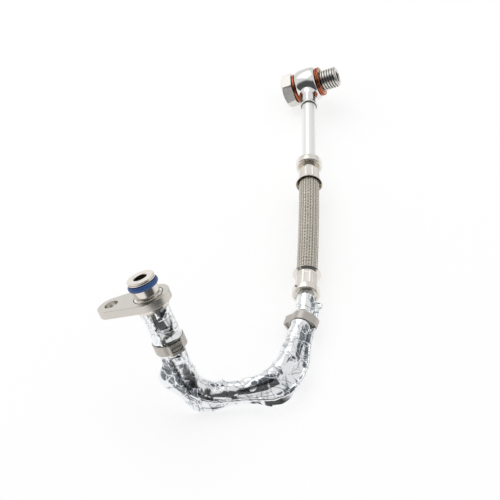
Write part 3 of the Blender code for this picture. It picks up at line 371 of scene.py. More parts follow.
class Route:
    """Straight runs and bends in millimetres; a frame has Z along the line, Y up and X to the left."""

    def __init__(self):
        facing = Matrix(((1, 0, 0, 0), (0, 0, -1, 0), (0, 1, 0, 0), (0, 0, 0, 1)))
        self.end = Matrix.Rotation(-START_YAW, 4, "Z") @ facing @ Matrix.Rotation(-START_PITCH, 4, "X")
        self.length = 0.0
        self.pieces = []

    def add(self, length, move):
        self.pieces.append((self.length, self.end, move))
        self.end = self.end @ move(length)
        self.length += length

    def run(self, length):
        self.add(length, lambda distance: Matrix.Translation((0, 0, distance)))

    def bend(self, radius, angle, roll=0.0):
        side = Vector((-math.cos(roll), math.sin(roll), 0))
        axis = Vector((0, 0, 1)).cross(side)
        centre = Matrix.Translation(side * radius)
        self.add(radius * angle, lambda distance: centre @ Matrix.Rotation(distance / radius, 4, axis)
                 @ centre.inverted())

    def frame(self, distance):
        chosen = self.pieces[0]
        for piece in self.pieces:
            if piece[0] <= distance:
                chosen = piece
        start, matrix, move = chosen
        return matrix @ move(distance - start)


route = Route()
route.run(UPPER_MOUTH)
route.bend(BRAID_SHOWN / HOSE_BEND, HOSE_BEND, HOSE_BEND_ROLL)
route.run(FERRULE_LENGTH + LOWER_NECK + COLLAR_LENGTH + RUN_TO_CLAMP_BEND)
route.bend(CLAMP_BEND_RADIUS, CLAMP_BEND)
route.run(RUN_TO_CORNER)
corner_start = route.length
route.bend(CORNER_BEND_RADIUS, CORNER_BEND)
corner_end = route.length
route.run(FLOOR_RUN)
rise_start = route.length
route.bend(RISE_BEND_RADIUS, RISE_BEND, RISE_BEND_ROLL)
rise_end = route.length
route.run(LEG_TO_FLANGE + PLATE_THICKNESS + SPIGOT_HEIGHT)
print("route length:", round(route.length, 1), "mm")

# %% [markdown]
# The route starts at the middle of the banjo eye. Where that is in the room is read from three nodes
# whose middles lie on known places of the route: the upper tube, the head washer and the O-ring.

# %% Where the route lies in the room
HEAD_WASHER_THICKNESS = 1.4
BOLT_ROLL = 23.0 * DEG
LAND_WIDTH = 0.9
LAND_GROOVE_WIDTH = 0.5
ORING_SECTION = 2.4
BOLT = route.frame(0.0) @ Matrix.Rotation(BOLT_ROLL, 4, "Z") @ Matrix.Rotation(math.pi / 2, 4, "Y")


def middle_of(node):
    """Mean of a node's corners, each corner counted once."""
    corners = {tuple(round(value, 6) for value in vert.co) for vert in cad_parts[node].data.vertices}
    return sum((Vector(corner) for corner in corners), Vector()) / len(corners)


def frame_of(origin, ahead, aside):
    """A frame from three points."""
    x = (ahead - origin).normalized()
    z = x.cross(aside - origin).normalized()
    y = z.cross(x)
    return Matrix.Translation(origin) @ Matrix((x, y, z)).transposed().to_4x4()


tube_middle = (SOCKET_REACH - SOCKET_DEPTH + UPPER_COLLAR + TUBE_SEAT) / 2
ring_below_tip = LAND_WIDTH * 1.7 + LAND_GROOVE_WIDTH + GAP + ORING_SECTION / 2
known = [
    route.frame(tube_middle).translation,
    route.frame(route.length - ring_below_tip).translation,
    BOLT @ Vector((0, 0, -EYE_HALF - GAP - HEAD_WASHER_THICKNESS / 2)),
]
found = [middle_of("upper_tube"), middle_of("o_ring"), middle_of("head_washer")]
ROOM = frame_of(*found) @ frame_of(*(point * MM for point in known)).inverted()
misfit = max((ROOM @ (point * MM) - place).length for point, place in zip(known, found))
print("route misfit:", round(misfit / MM, 3), "mm")


def in_room(matrix):
    """A route frame in millimetres as a frame in the room in metres."""
    placed = matrix.copy()
    placed.translation = matrix.translation * MM
    return ROOM @ placed


# %% [markdown]
# ## Tools for pieces
# Each piece is modelled at the origin with its axis along Z, keeps a note of its own coordinates for the
# grain of its finish, and is then put in its place on the route.

# %% Tools for pieces
ROOT = "root"
WELD = 0.000001


def only(piece):
    """Select one piece and nothing else."""
    bpy.ops.object.select_all(action="DESELECT")
    piece.select_set(True)
    bpy.context.view_layer.objects.active = piece


def added(name, operator, **settings):
    """Add a primitive with nothing else selected, and name it."""
    bpy.ops.object.select_all(action="DESELECT")
    operator(**settings)
    piece = bpy.context.object
    piece.name = piece.data.name = name
    return piece


def joined(name, first, *others):
    """Join the other pieces to the first."""
    only(first)
    for other in others:
        other.select_set(True)
    bpy.ops.object.join()
    first.name = first.data.name = name
    return first


def edited(piece, *steps):
    """Run mesh operators on the whole mesh, one after the other, then turn its normals outward."""
    bpy.ops.object.mode_set(mode="EDIT")
    for operator, settings in (*steps, (bpy.ops.mesh.normals_make_consistent, {"inside": False})):
        bpy.ops.mesh.select_all(action="SELECT")
        operator(**settings)
    bpy.ops.object.mode_set(mode="OBJECT")
    return piece


def lathe(name, profile, steps=96):
    """Turn a closed profile of (radius, height) points about Z with the Spin operator."""
    piece = added(name, bpy.ops.mesh.primitive_circle_add, vertices=len(profile), radius=MM,
                  fill_type="NOTHING")
    for vert, (radius, height) in zip(piece.data.vertices, profile):
        vert.co = (radius * MM, 0.0, height * MM)
    spin = {"steps": steps, "angle": TURN, "center": (0, 0, 0), "axis": (0, 0, 1)}
    return edited(piece, (bpy.ops.mesh.spin, spin), (bpy.ops.mesh.remove_doubles, {"threshold": WELD}))


def extruded(name, outline, thickness):
    """A plate from an outline of (x, y) points, centred on the plane."""
    piece = added(name, bpy.ops.mesh.primitive_circle_add, vertices=len(outline), radius=MM, fill_type="NGON")
    for vert, (x, y) in zip(piece.data.vertices, outline):
        vert.co = (x * MM, y * MM, -thickness / 2 * MM)
    push = {"TRANSFORM_OT_translate": {"value": (0, 0, thickness * MM)}}
    return edited(piece, (bpy.ops.mesh.extrude_region_move, push))


def shape_grid(name, columns, rows, point, **notes):
    """A grid whose corners are put where point(share round, share along) says, welded where they meet.

    Each note is a function of the same shares; its values are kept as an attribute for the finish.
    """
    piece = added(name, bpy.ops.mesh.primitive_grid_add, x_subdivisions=columns, y_subdivisions=rows, size=1.0)
    shares = [(vert.co.x + 0.5, vert.co.y + 0.5) for vert in piece.data.vertices]
    for vert, (across, along) in zip(piece.data.vertices, shares):
        vert.co = Vector(point(across, along)) * MM
    for label, value_at in notes.items():
        note = piece.data.attributes.new(label, "FLOAT", "POINT")
        note.data.foreach_set("value", [value_at(across, along) for across, along in shares])
    return edited(piece, (bpy.ops.mesh.remove_doubles, {"threshold": WELD}))


print("pieces ride on:", ROOT)

# %% [markdown]
# The bench also needs a few tools that work on a piece: modifiers, the place in the room, and the finish.

# %% Tools that change a piece
def apply_modifier(piece, kind, **settings):
    """Add a modifier, set it and apply it."""
    only(piece)
    modifier = piece.modifiers.new(kind.lower(), kind)
    for name, value in settings.items():
        setattr(modifier, name, value)
    bpy.ops.object.modifier_apply(modifier=modifier.name)
    return piece


def soften(piece, width, segments=3, angle=28.0):
    """Round the sharp edges of a piece."""
    return apply_modifier(piece, "BEVEL", width=width * MM, segments=segments, limit_method="ANGLE",
                          angle_limit=angle * DEG)


def carve(piece, tool, operation="DIFFERENCE"):
    """Cut, join or keep what is common with a tool, and remove the tool."""
    apply_modifier(piece, "BOOLEAN", object=tool, operation=operation, solver="EXACT")
    bpy.data.objects.remove(tool)
    return piece


def keep_place(piece):
    """Note each corner's own coordinates, in millimetres, for the grain of the finish."""
    note = piece.data.attributes.new("local", "FLOAT_VECTOR", "POINT")
    note.data.foreach_set("vector", [value / MM for vert in piece.data.vertices for value in vert.co])


def move_in(piece, matrix):
    """Put a piece in its place in the room; the place goes into the mesh."""
    only(piece)
    piece.matrix_world = in_room(matrix)
    bpy.ops.object.transform_apply(location=True, rotation=True, scale=True)


def seat(piece, matrix):
    """Move a finished piece in, with a note of its own coordinates."""
    keep_place(piece)
    move_in(piece, matrix)
    return piece


def dress(piece, finish, *nodes, angle=35.0, flats=False):
    """Finish a piece: material, smooth shading, body and the nodes that it stands for.

    Flats are faces that stay flat in the light beside their softened edges.
    """
    piece.data.materials.clear()
    piece.data.materials.append(finish.material)
    only(piece)
    bpy.ops.object.shade_smooth_by_angle(angle=angle * DEG)
    if flats:
        apply_modifier(piece, "WEIGHTED_NORMAL", keep_sharp=True, weight=100)
    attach(piece, ROOT)
    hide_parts(*nodes)
    print(piece.name, len(piece.data.polygons), "faces")
    return piece


# %% [markdown]
# ## Banjo bolt
# The head is a hexagon whose outer end is turned to a chamfer. The thread is one ridge that winds round
# the core: it is made as a long grid that follows a helix and runs out to nothing at the tip.

# %% Banjo bolt
BOLT_RADIUS = 6.0
BOLT_BORE_RADIUS = 3.25
BOLT_POINT = 0.9
THREAD_PITCH = 1.5
THREAD_DEPTH = 0.85
HEX_ACROSS_FLATS = 17.0
HEX_HEIGHT = 6.0
HEX_TURN = 36.0 * DEG
TIP_WASHER_THICKNESS = 2.0
BOLT_BEYOND_WASHER = 9.5
HEX_CHAMFER = 1.35
HEX_SOFT = 0.09
BEYOND = 1.0             # how far a tool or a hidden end runs past the surface
hex_top = -EYE_HALF - GAP - HEAD_WASHER_THICKNESS - GAP
hex_bottom = hex_top - HEX_HEIGHT
washer_end = EYE_HALF + GAP + TIP_WASHER_THICKNESS
bolt_tip = washer_end + BOLT_BEYOND_WASHER

hex_corner = HEX_ACROSS_FLATS / 2 / math.cos(30 * DEG)
bolt = added("banjo_bolt_fine", bpy.ops.mesh.primitive_cylinder_add, vertices=6, radius=hex_corner * MM,
             depth=HEX_HEIGHT * MM, location=(0, 0, (hex_top + hex_bottom) / 2 * MM), rotation=(0, 0, HEX_TURN))
bpy.ops.object.transform_apply(location=True, rotation=True, scale=True)
chamfer = lathe("chamfer", [(0.0, hex_top + BEYOND), (hex_corner + BEYOND, hex_top + BEYOND),
                            (hex_corner + BEYOND, hex_top + 0.2), (hex_corner - 0.4, hex_top - 0.1),
                            (hex_corner - 0.1, hex_bottom + 0.9), (hex_corner - HEX_CHAMFER, hex_bottom),
                            (hex_corner - 1.6, hex_bottom - 0.001), (0.0, hex_bottom - 0.001)], 128)
carve(bolt, chamfer, "INTERSECT")
soften(bolt, HEX_SOFT, 2)
print("bolt length:", round(bolt_tip - hex_bottom, 1), "mm")

core_radius = BOLT_RADIUS - THREAD_DEPTH
core = lathe("core", [(BOLT_BORE_RADIUS, bolt_tip - 0.5), (BOLT_BORE_RADIUS + 0.5, bolt_tip),
                      (core_radius - 0.15, bolt_tip), (core_radius, bolt_tip - 0.2),
                      (core_radius, hex_top - BEYOND), (BOLT_BORE_RADIUS, hex_top - BEYOND)], 72)

# %% [markdown]
# Across, the thread's grid follows the flank: lift from the core and shift along the bolt, as shares of
# the thread's depth and pitch. Along, it follows the helix.

# %% Thread
THREAD_STEPS = 40
thread_begin = EYE_HALF
thread_turns = (bolt_tip - thread_begin) / THREAD_PITCH
FLANK = [(-0.05, -0.38), (1.0, -0.14), (1.0, 0.14), (-0.05, 0.38), (-0.05, 0.0), (-0.05, -0.38)]


def flank_at(across):
    return FLANK[round(across * (len(FLANK) - 1))]


def thread_point(across, along):
    lift, shift = flank_at(across)
    height = thread_begin + (bolt_tip - thread_begin) * along + shift * THREAD_PITCH
    runout = min(1.0, (1.0 - along) * thread_turns * 2.0)
    radius = core_radius + lift * THREAD_DEPTH * runout
    radius = min(radius, BOLT_RADIUS - max(0.0, height - (bolt_tip - BOLT_POINT)))
    angle = TURN * thread_turns * along
    return *polar(radius, angle), min(height, bolt_tip - 0.02)


def painted_groove_shade_at(across, along):
    """1 at the root of the thread, 0 on its crest: painted shade sits in the groove."""
    return 1.0 - max(0.0, flank_at(across)[0])


thread_rows = round(thread_turns * THREAD_STEPS)
thread = shape_grid("thread", len(FLANK) - 1, thread_rows, thread_point, groove=painted_groove_shade_at)
joined("banjo_bolt_fine", bolt, thread, core)
dress(seat(bolt, BOLT), PLATED, "banjo_bolt", angle=25, flats=True)

# %% [markdown]
# ## Copper washers
# The one under the head is a flat ring. The one on the thread side is folded from sheet copper: two
# rounded lips with a seam between them.

# %% Washers
WASHER_RADIUS = 8.35
WASHER_HOLE = BOLT_RADIUS + GAP
HEAD_ROUND = 0.45
head_low = -EYE_HALF - GAP - HEAD_WASHER_THICKNESS
head_high = -EYE_HALF - GAP
head_profile = [(WASHER_HOLE, head_high)]
head_profile += arc((WASHER_RADIUS - HEAD_ROUND, head_high - HEAD_ROUND), HEAD_ROUND, 90, 0)
head_profile += arc((WASHER_RADIUS - HEAD_ROUND, head_low + HEAD_ROUND), HEAD_ROUND, 0, -90)
head_profile += [(WASHER_HOLE, head_low)]
head_washer = lathe("head_washer_fine", head_profile)
dress(seat(head_washer, BOLT), COPPER, "head_washer", angle=50)

tip_low = EYE_HALF + GAP
lip = TIP_WASHER_THICKNESS / 4
tip_profile = [(WASHER_HOLE, washer_end - 0.15), (WASHER_HOLE + 0.5, washer_end)]
tip_profile += arc((WASHER_RADIUS - lip, washer_end - lip), lip, 90, -70)
tip_profile += [(WASHER_RADIUS - 1.0, (washer_end + tip_low) / 2)]
tip_profile += arc((WASHER_RADIUS - lip, tip_low + lip), lip, 70, -90)
tip_profile += [(WASHER_HOLE, tip_low)]
tip_washer = lathe("tip_washer_fine", tip_profile)
dress(seat(tip_washer, BOLT), COPPER, "tip_washer", angle=50)

# %% [markdown]
# ## Banjo eye
# A barrel-shaped eye runs into a socket for the tube. The two turned bodies are joined, voxel remeshed
# and smoothed, which gives the soft fillet of a forging where they meet.

# %% Banjo eye
EYE_RADIUS = 10.0
EYE_FACE_RADIUS = 8.5
EYE_FACE = EYE_HALF - 0.02
EYE_STEPS = 16
SOCKET_WALL = 0.5
SOCKET_RIM = 1.3
SOCKET_RIM_HEIGHT = 0.2
EYE_VOXEL = 0.2
SMOOTH_ROUNDS = 9
socket_bore = TUBE_RADIUS + GAP
socket_radius = socket_bore + SOCKET_WALL

barrel = [(WASHER_HOLE, EYE_FACE)]
for index in range(EYE_STEPS + 1):
    share = 1 - 2 * index / EYE_STEPS
    bulge = (EYE_RADIUS - EYE_FACE_RADIUS) * math.sqrt(max(0.0, 1 - share ** 2))
    barrel.append((EYE_FACE_RADIUS + bulge, share * EYE_FACE))
barrel.append((WASHER_HOLE, -EYE_FACE))
eye = lathe("banjo_eye_fine", barrel)
move_in(eye, BOLT)
rim = socket_radius + SOCKET_RIM_HEIGHT
inner = TUBE_RADIUS - 1.5
neck = [(inner, 6.6), (5.95, 7.4), (5.6, 8.5), (5.2, 9.5), (4.95, 10.5), (socket_radius, 11.6),
        (socket_radius, SOCKET_REACH - SOCKET_RIM - 0.2), (rim, SOCKET_REACH - SOCKET_RIM),
        (rim, SOCKET_REACH), (socket_bore, SOCKET_REACH), (socket_bore, SOCKET_REACH - SOCKET_DEPTH),
        (inner, SOCKET_REACH - SOCKET_DEPTH)]
socket = lathe("socket", neck[::-1])
move_in(socket, route.frame(0.0))
carve(eye, socket, "UNION")
apply_modifier(eye, "REMESH", mode="VOXEL", voxel_size=EYE_VOXEL * MM)
apply_modifier(eye, "SMOOTH", factor=0.5, iterations=SMOOTH_ROUNDS)
keep_place(eye)
dress(eye, POLISHED, "banjo_eye", angle=60)

# %% [markdown]
# ## Upper tube
# Plain drawn tube, 8 mm, with a very slight waviness in its shine.

# %% Upper tube
tube_begin = SOCKET_REACH - SOCKET_DEPTH + GAP
tube_end = UPPER_COLLAR + TUBE_SEAT - GAP
tube = lathe("upper_tube_fine", [(TUBE_RADIUS, tube_begin), (TUBE_RADIUS, tube_end),
                                 (TUBE_RADIUS - 1, tube_end), (TUBE_RADIUS - 1, tube_begin)], 72)
dress(seat(tube, route.frame(0.0)), DRAWN, "upper_tube")

# %% [markdown]
# ## Hose ends
# Each end has a nipple with a rounded collar brazed to the tube, and a sleeve crimped over the hose. The
# lower collar has a slanted punch mark.

# %% Nipples
COLLAR_RADIUS = 7.0
COLLAR_ROUND = 0.95
COLLAR_EDGE = 0.3
COLLAR_DISH_RADIUS = 5.8
NIPPLE_NECK_RADIUS = 4.6
NIPPLE_BORE_RADIUS = 1.9
PUNCH_MARK = Vector((1.8, 1.0, 2.3))
PUNCH_MARK_ANGLE = 138.0 * DEG
PUNCH_MARK_SLANT = 40.0 * DEG
FLIP = Matrix.Rotation(math.pi, 4, "Y")


def nipple(name, neck_shown):
    """Collar, dished at both faces, and neck; the barb inside the hose is left to the solid."""
    neck_end = COLLAR_LENGTH + neck_shown + BEYOND
    dish = COLLAR_DISH_RADIUS
    profile = [(NIPPLE_BORE_RADIUS, neck_end), (NIPPLE_NECK_RADIUS, neck_end),
               (NIPPLE_NECK_RADIUS, COLLAR_LENGTH - 0.9), (dish - 0.5, COLLAR_LENGTH - 0.55),
               (dish, COLLAR_LENGTH - 0.05)]
    profile += arc((COLLAR_RADIUS - COLLAR_ROUND, COLLAR_LENGTH - COLLAR_ROUND), COLLAR_ROUND, 85, 0, 8)
    profile += arc((COLLAR_RADIUS - COLLAR_EDGE, COLLAR_EDGE), COLLAR_EDGE, 0, -90)
    profile += [(dish + 0.25, 0.0), (dish, 0.15), (dish - 0.5, 0.65), (TUBE_RADIUS + 0.1, 0.95),
                (TUBE_RADIUS + 0.1, TUBE_SEAT), (NIPPLE_BORE_RADIUS, TUBE_SEAT)]
    return lathe(name, profile, 128)


upper_nipple = nipple("upper_nipple_fine", UPPER_NECK)
dress(seat(upper_nipple, route.frame(UPPER_COLLAR)), PRESSED, "upper_nipple")
lower_nipple = nipple("lower_nipple_fine", LOWER_NECK)
punch = added("punch", bpy.ops.mesh.primitive_cube_add, size=MM)
punch.data.transform(Matrix.Diagonal((*PUNCH_MARK, 1.0)))
half_way = FLIP.inverted() @ Matrix.Translation((0, 0, -COLLAR_LENGTH / 2 * MM))
on_rim = Matrix.Rotation(PUNCH_MARK_ANGLE, 4, "Z") @ Matrix.Translation((COLLAR_RADIUS * MM, 0, 0))
punch.data.transform(half_way @ on_rim @ Matrix.Rotation(PUNCH_MARK_SLANT, 4, "X"))
carve(lower_nipple, punch)
dress(seat(lower_nipple, route.frame(LOWER_COLLAR_END) @ FLIP), PRESSED, "lower_nipple")

# %% [markdown]
# The sleeve is turned, and the eight dies of the crimping tool press its flats, which leaves a ridge
# between each two of them. Its mouth is flared over the braid.

# %% Crimped sleeves
BRAID_RADIUS = 5.4
CRIMP_SQUEEZE = 0.7
FERRULE_WALL = 0.85
FERRULE_FLATS = 8
FLAT_DEPTH = 0.22
BELL_RADIUS = 7.2
BELL_LENGTH = 2.4
BELL_FLARE = 1.5
LIP_THICKNESS = 0.45
FLAT_SHARE = 0.64
FLAT_EDGE = 0.12
FLAT_FADE = 0.9
crimped_radius = BRAID_RADIUS - CRIMP_SQUEEZE
ferrule_radius = crimped_radius + GAP + FERRULE_WALL


def ferrule(name, matrix):
    """Sleeve with pressed flats and a flared mouth; height zero is the closed end."""
    throat = FERRULE_LENGTH - BELL_LENGTH
    root = FERRULE_LENGTH - BELL_FLARE
    inside = crimped_radius + GAP
    lip = LIP_THICKNESS / 2
    flare = BELL_RADIUS - ferrule_radius
    profile = [(NIPPLE_NECK_RADIUS + GAP, 0.0), (NIPPLE_NECK_RADIUS + GAP, FERRULE_WALL),
               (inside, FERRULE_WALL), (inside, throat), (inside + 0.35, root - 0.2),
               (inside + 0.85, root + 0.5), (BELL_RADIUS - LIP_THICKNESS - 0.3, FERRULE_LENGTH - 0.55)]
    profile += arc((BELL_RADIUS - lip, FERRULE_LENGTH - lip), lip, 150, -20, 6)
    profile += [(ferrule_radius + flare * 0.62, root + BELL_FLARE * 0.48),
                (ferrule_radius + flare * 0.30, root + BELL_FLARE * 0.22),
                (ferrule_radius + flare * 0.08, root + 0.05)]
    profile += [(ferrule_radius, (root - 0.2) - (root - 0.7) * i / 10) for i in range(11)]
    profile += [(ferrule_radius - 0.15, 0.15), (ferrule_radius - 0.5, 0.0)]
    made = lathe(name, profile, 192)
    sector = TURN / FERRULE_FLATS
    for vert in made.data.vertices:
        x, y, height = (value / MM for value in vert.co)
        radius = math.hypot(x, y)
        if radius < crimped_radius + GAP + FERRULE_WALL / 2:
            continue
        away = abs((math.atan2(y, x) / sector + 0.5) % 1.0 - 0.5) * 2
        edge = min(1.0, max(0.0, (FLAT_SHARE + FLAT_EDGE - away) / FLAT_EDGE))
        fade = min(1.0, max(0.0, (root - 0.1 - height) / FLAT_FADE))
        flat = (ferrule_radius - FLAT_DEPTH) / math.cos(min(away, FLAT_SHARE) * sector / 2)
        flat -= (ferrule_radius - FLAT_DEPTH) * (1 / math.cos(FLAT_SHARE * sector / 2) - 1)
        pressed = max(0.0, min(radius, ferrule_radius) - flat) * edge * fade
        vert.co.x *= (radius - pressed) / radius
        vert.co.y *= (radius - pressed) / radius
    seat(made, matrix)
    return made


upper_ferrule = ferrule("upper_ferrule_fine", route.frame(UPPER_FERRULE))
dress(upper_ferrule, PRESSED, "upper_ferrule", angle=25)
lower_ferrule = ferrule("lower_ferrule_fine", route.frame(LOWER_FERRULE_END) @ FLIP)
dress(lower_ferrule, PRESSED, "lower_ferrule", angle=25)

# %% [markdown]
# ## Braid
# Forty-eight flat strands, half wound each way, pass over two and under two of the others. Where they pass
# over depends only on the place round the hose, so the braid shows columns along the hose. Each strand
# is a ribbon of three wires: its section has three small tops.

# %% Braid
CARRIERS = 24
BRAID_LEAD = 26.4
STRAND_WIRES = 3
STRAND_HALF = 0.38
STRAND_LIFT = 0.17
STRAND_THICKNESS = 0.22
WIRE_HEIGHT = 0.08
WAVE_GAIN = 1.6
WIRE_STEPS = 2
BRAID_ROWS = 190
braid_begin = UPPER_FERRULE + FERRULE_WALL + GAP
braid_end = LOWER_FERRULE_END - FERRULE_WALL - GAP
braid_mid = BRAID_RADIUS - STRAND_LIFT - 0.06


def eased(value, stations):
    """Value between (distance, size) stations, smooth from one to the next."""
    if value <= stations[0][0]:
        return stations[0][1]
    for (first, low), (second, high) in zip(stations, stations[1:]):
        if value <= second:
            share = (value - first) / (second - first)
            return low + (high - low) * share * share * (3 - 2 * share)
    return stations[-1][1]


squeeze = [(UPPER_MOUTH - BELL_LENGTH, CRIMP_SQUEEZE), (UPPER_MOUTH, 0.0), (LOWER_MOUTH, 0.0),
           (LOWER_MOUTH + BELL_LENGTH, CRIMP_SQUEEZE)]
section = [(-STRAND_HALF, -STRAND_THICKNESS)]
for wire in range(STRAND_WIRES):
    for step in range(WIRE_STEPS):
        share = (wire + step / WIRE_STEPS) / STRAND_WIRES
        lift = WIRE_HEIGHT * math.sin(math.pi * step / WIRE_STEPS)
        section.append((-STRAND_HALF + 2 * STRAND_HALF * share, lift))
section += [(STRAND_HALF, 0.0), (STRAND_HALF, -STRAND_THICKNESS), (-STRAND_HALF, -STRAND_THICKNESS)]
slant = math.atan2(TURN * braid_mid, BRAID_LEAD)
print("corners across a strand:", len(section))

# %% [markdown]
# A strand's note says how high each corner stands, so the finish can paint shade into the gaps between the
# wires.

# %% Strands
def strand(direction, number):
    """One ribbon; direction is +1 or -1."""

    def section_at(across):
        return section[round(across * (len(section) - 1))]

    def angle_at(aside, along):
        angle = direction * TURN * (along * (braid_end - braid_begin) / BRAID_LEAD) + TURN * number / CARRIERS
        return angle - aside * math.cos(slant) / braid_mid

    def lift_at(across, along):
        """How far a point stands off the middle of the braid."""
        aside, lift = section_at(across)
        wave = math.cos(angle_at(aside, along) * CARRIERS / 2)
        return direction * STRAND_LIFT * max(-1.0, min(1.0, wave * WAVE_GAIN)) + lift

    def point(across, along):
        aside = section_at(across)[0]
        distance = braid_begin + (braid_end - braid_begin) * along + aside * math.sin(slant) * direction
        distance = min(max(distance, braid_begin), braid_end)
        angle = angle_at(aside, along)
        radius = braid_mid + lift_at(across, along) - eased(distance, squeeze)
        return route.frame(distance) @ Vector((*polar(radius, angle), 0))

    return shape_grid("strand", len(section) - 1, BRAID_ROWS, point, crown=lift_at)


strands = [strand(direction, number) for direction in (1, -1) for number in range(CARRIERS)]
braid = joined("braid_fine", *strands)
dress(seat(braid, Matrix.Identity(4)), WOVEN, "braided_hose", angle=60)

# %% [markdown]
# ## Spigot and O-ring
# The spigot is turned from bar: two thin lands, the groove that holds the blue ring, the shaft, and a
# shoulder under the plate.

# %% Spigot
SPIGOT_RADIUS = 6.75
SHAFT_RADIUS = 6.3
SPIGOT_BORE_RADIUS = 3.25
HUB_RADIUS = 7.0
SHOULDER_RADIUS = 8.2
SHOULDER_THICKNESS = 1.5
TAIL_LENGTH = 6.0
ORING_RADIUS = 7.4
ORING_SWELL = 1.15
TIP = route.frame(route.length)
first_land = -LAND_WIDTH * 0.8
second_land = first_land - LAND_GROOVE_WIDTH
groove_top = second_land - LAND_WIDTH * 0.5
groove_bottom = groove_top - ORING_SECTION - 2 * GAP
groove_floor = ORING_RADIUS - ORING_SECTION - GAP
plate_top = -SPIGOT_HEIGHT
shoulder_top = plate_top - PLATE_THICKNESS - GAP
shoulder_bottom = shoulder_top - SHOULDER_THICKNESS
tail_radius = TUBE_RADIUS + GAP + 1.0
spigot = lathe("spigot_fine", [
    (SPIGOT_BORE_RADIUS, -0.4), (SPIGOT_BORE_RADIUS + 0.4, 0.0), (SPIGOT_RADIUS - 0.3, 0.0),
    (SPIGOT_RADIUS, -0.25), (SPIGOT_RADIUS, first_land), (SPIGOT_RADIUS - 0.6, first_land),
    (SPIGOT_RADIUS - 0.6, second_land), (SPIGOT_RADIUS, second_land), (SPIGOT_RADIUS, groove_top),
    (groove_floor, groove_top), (groove_floor, groove_bottom), (SHAFT_RADIUS, groove_bottom),
    (SHAFT_RADIUS, plate_top + 1.4), (SHAFT_RADIUS - 0.4, plate_top + 1.0),
    (SHAFT_RADIUS - 0.4, plate_top + 0.3), (HUB_RADIUS, plate_top), (HUB_RADIUS, shoulder_top),
    (SHOULDER_RADIUS, shoulder_top), (SHOULDER_RADIUS, shoulder_bottom), (tail_radius, shoulder_bottom),
    (tail_radius, shoulder_bottom - TAIL_LENGTH), (SPIGOT_BORE_RADIUS, shoulder_bottom - TAIL_LENGTH)], 128)
soften(spigot, 0.06, 2)
dress(seat(spigot, TIP), TURNED, "spigot", angle=40, flats=True)

ring_middle = -ring_below_tip
ring_profile = [(radius, ring_middle + (height - ring_middle) * ORING_SWELL) for radius, height in
                arc((ORING_RADIUS - ORING_SECTION / 2, ring_middle), ORING_SECTION / 2, 0, -345, 23)]
o_ring = lathe("o_ring_fine", ring_profile, 128)
dress(seat(o_ring, TIP), BLUE, "o_ring")

# %% [markdown]
# ## Flange plate
# A flat outline of two arcs and their tangents, pushed up to its thickness and drilled twice, with its
# rim just broken by a file.

# %% Flange plate
PLATE_BIG = 10.2
PLATE_SMALL = 7.0
PLATE_SPACING = 19.4
PLATE_HOLE_RADIUS = 3.3
PLATE_TURN = -85.0 * DEG
PLATE_EDGE = 0.22
lean = math.asin((PLATE_BIG - PLATE_SMALL) / PLATE_SPACING)
outline = arc((0, 0), PLATE_BIG, 90 - lean / DEG, 270 + lean / DEG, 48)
outline += arc((PLATE_SPACING, 0), PLATE_SMALL, -90 + lean / DEG, 90 - lean / DEG, 32)
plate = extruded("flange_plate_fine", outline, PLATE_THICKNESS)
for place, radius in ((0.0, HUB_RADIUS + GAP), (PLATE_SPACING, PLATE_HOLE_RADIUS)):
    drill = added("drill", bpy.ops.mesh.primitive_cylinder_add, vertices=96, radius=radius * MM,
                  depth=4 * PLATE_THICKNESS * MM, location=(place * MM, 0, 0))
    carve(plate, drill)
soften(plate, PLATE_EDGE, 2)
plate_middle = Matrix.Translation((0, 0, plate_top - PLATE_THICKNESS / 2))
seat(plate, TIP @ plate_middle @ Matrix.Rotation(PLATE_TURN, 4, "Z"))
dress(plate, GROUND, "flange_plate", angle=40, flats=True)

# %% [markdown]
# ## Heat cover
# Aluminium foil on glass fibre, wrapped round the tube and folded to a seam. It is slack outside the bends,
# where it stands off as a blunt fold: two flats that leave the round part and meet in an edge. Each list
# holds (distance along the route, value) stations in millimetres or radians.

# %% Cover sizes
COVER_START = 2.0
COVER_TO_SHOULDER = 1.2
COVER_WALL = 0.45
BAND_WIDTH = 5.0
UPPER_CLAMP_BEYOND_COLLAR = 17.2
LOWER_CLAMP_BELOW_FLANGE = 25.7
FIN_ANGLE = 4.0 * DEG
CLAMP_FADE = 2.5
plate_station = route.length - SPIGOT_HEIGHT
cover_begin = LOWER_COLLAR_END + COVER_START
cover_end = plate_station - PLATE_THICKNESS - GAP - SHOULDER_THICKNESS - COVER_TO_SHOULDER
upper_clamp = LOWER_COLLAR_END + UPPER_CLAMP_BEYOND_COLLAR
lower_clamp = plate_station - LOWER_CLAMP_BELOW_FLANGE
corner_reach = corner_end - corner_start
rise_reach = rise_end - rise_start
corner_middle = (corner_start + corner_end) / 2
cover_radii = [(cover_begin, 4.8), (upper_clamp - BAND_WIDTH, 4.8), (upper_clamp - BAND_WIDTH / 2, 5.3),
               (upper_clamp + BAND_WIDTH / 2, 5.3), (corner_middle, 6.1),
               ((corner_end + rise_start) / 2, 5.9), ((rise_start + rise_end) / 2, 6.7), (rise_end, 7.4)]
fin_heights = [(cover_begin + 2.8, 0.5), (cover_begin + 3.6, 3.9), (cover_begin + 5.6, 3.7),
               (cover_begin + 7.0, 2.2), (upper_clamp + BAND_WIDTH / 2, 2.2), (corner_start, 3.5),
               (corner_middle, 3.5), (corner_end, 0.9)]
fold_heights = [(corner_start - corner_reach * 0.4, 0.0), (corner_start + corner_reach * 0.55, 7.0),
                (corner_end, 1.84), (rise_start, 2.3), (rise_start + rise_reach * 0.36, 4.2),
                (rise_start + rise_reach * 0.68, 2.2), (rise_end, 4.6), (rise_end + rise_reach * 0.4, 0.0)]
fold_aims = [(corner_start + corner_reach * 0.55, -12.0 * DEG), (corner_end, -25.0 * DEG),
             (rise_start, -38.0 * DEG), (rise_start + rise_reach * 0.36, -46.0 * DEG),
             (rise_end, -RISE_BEND_ROLL)]
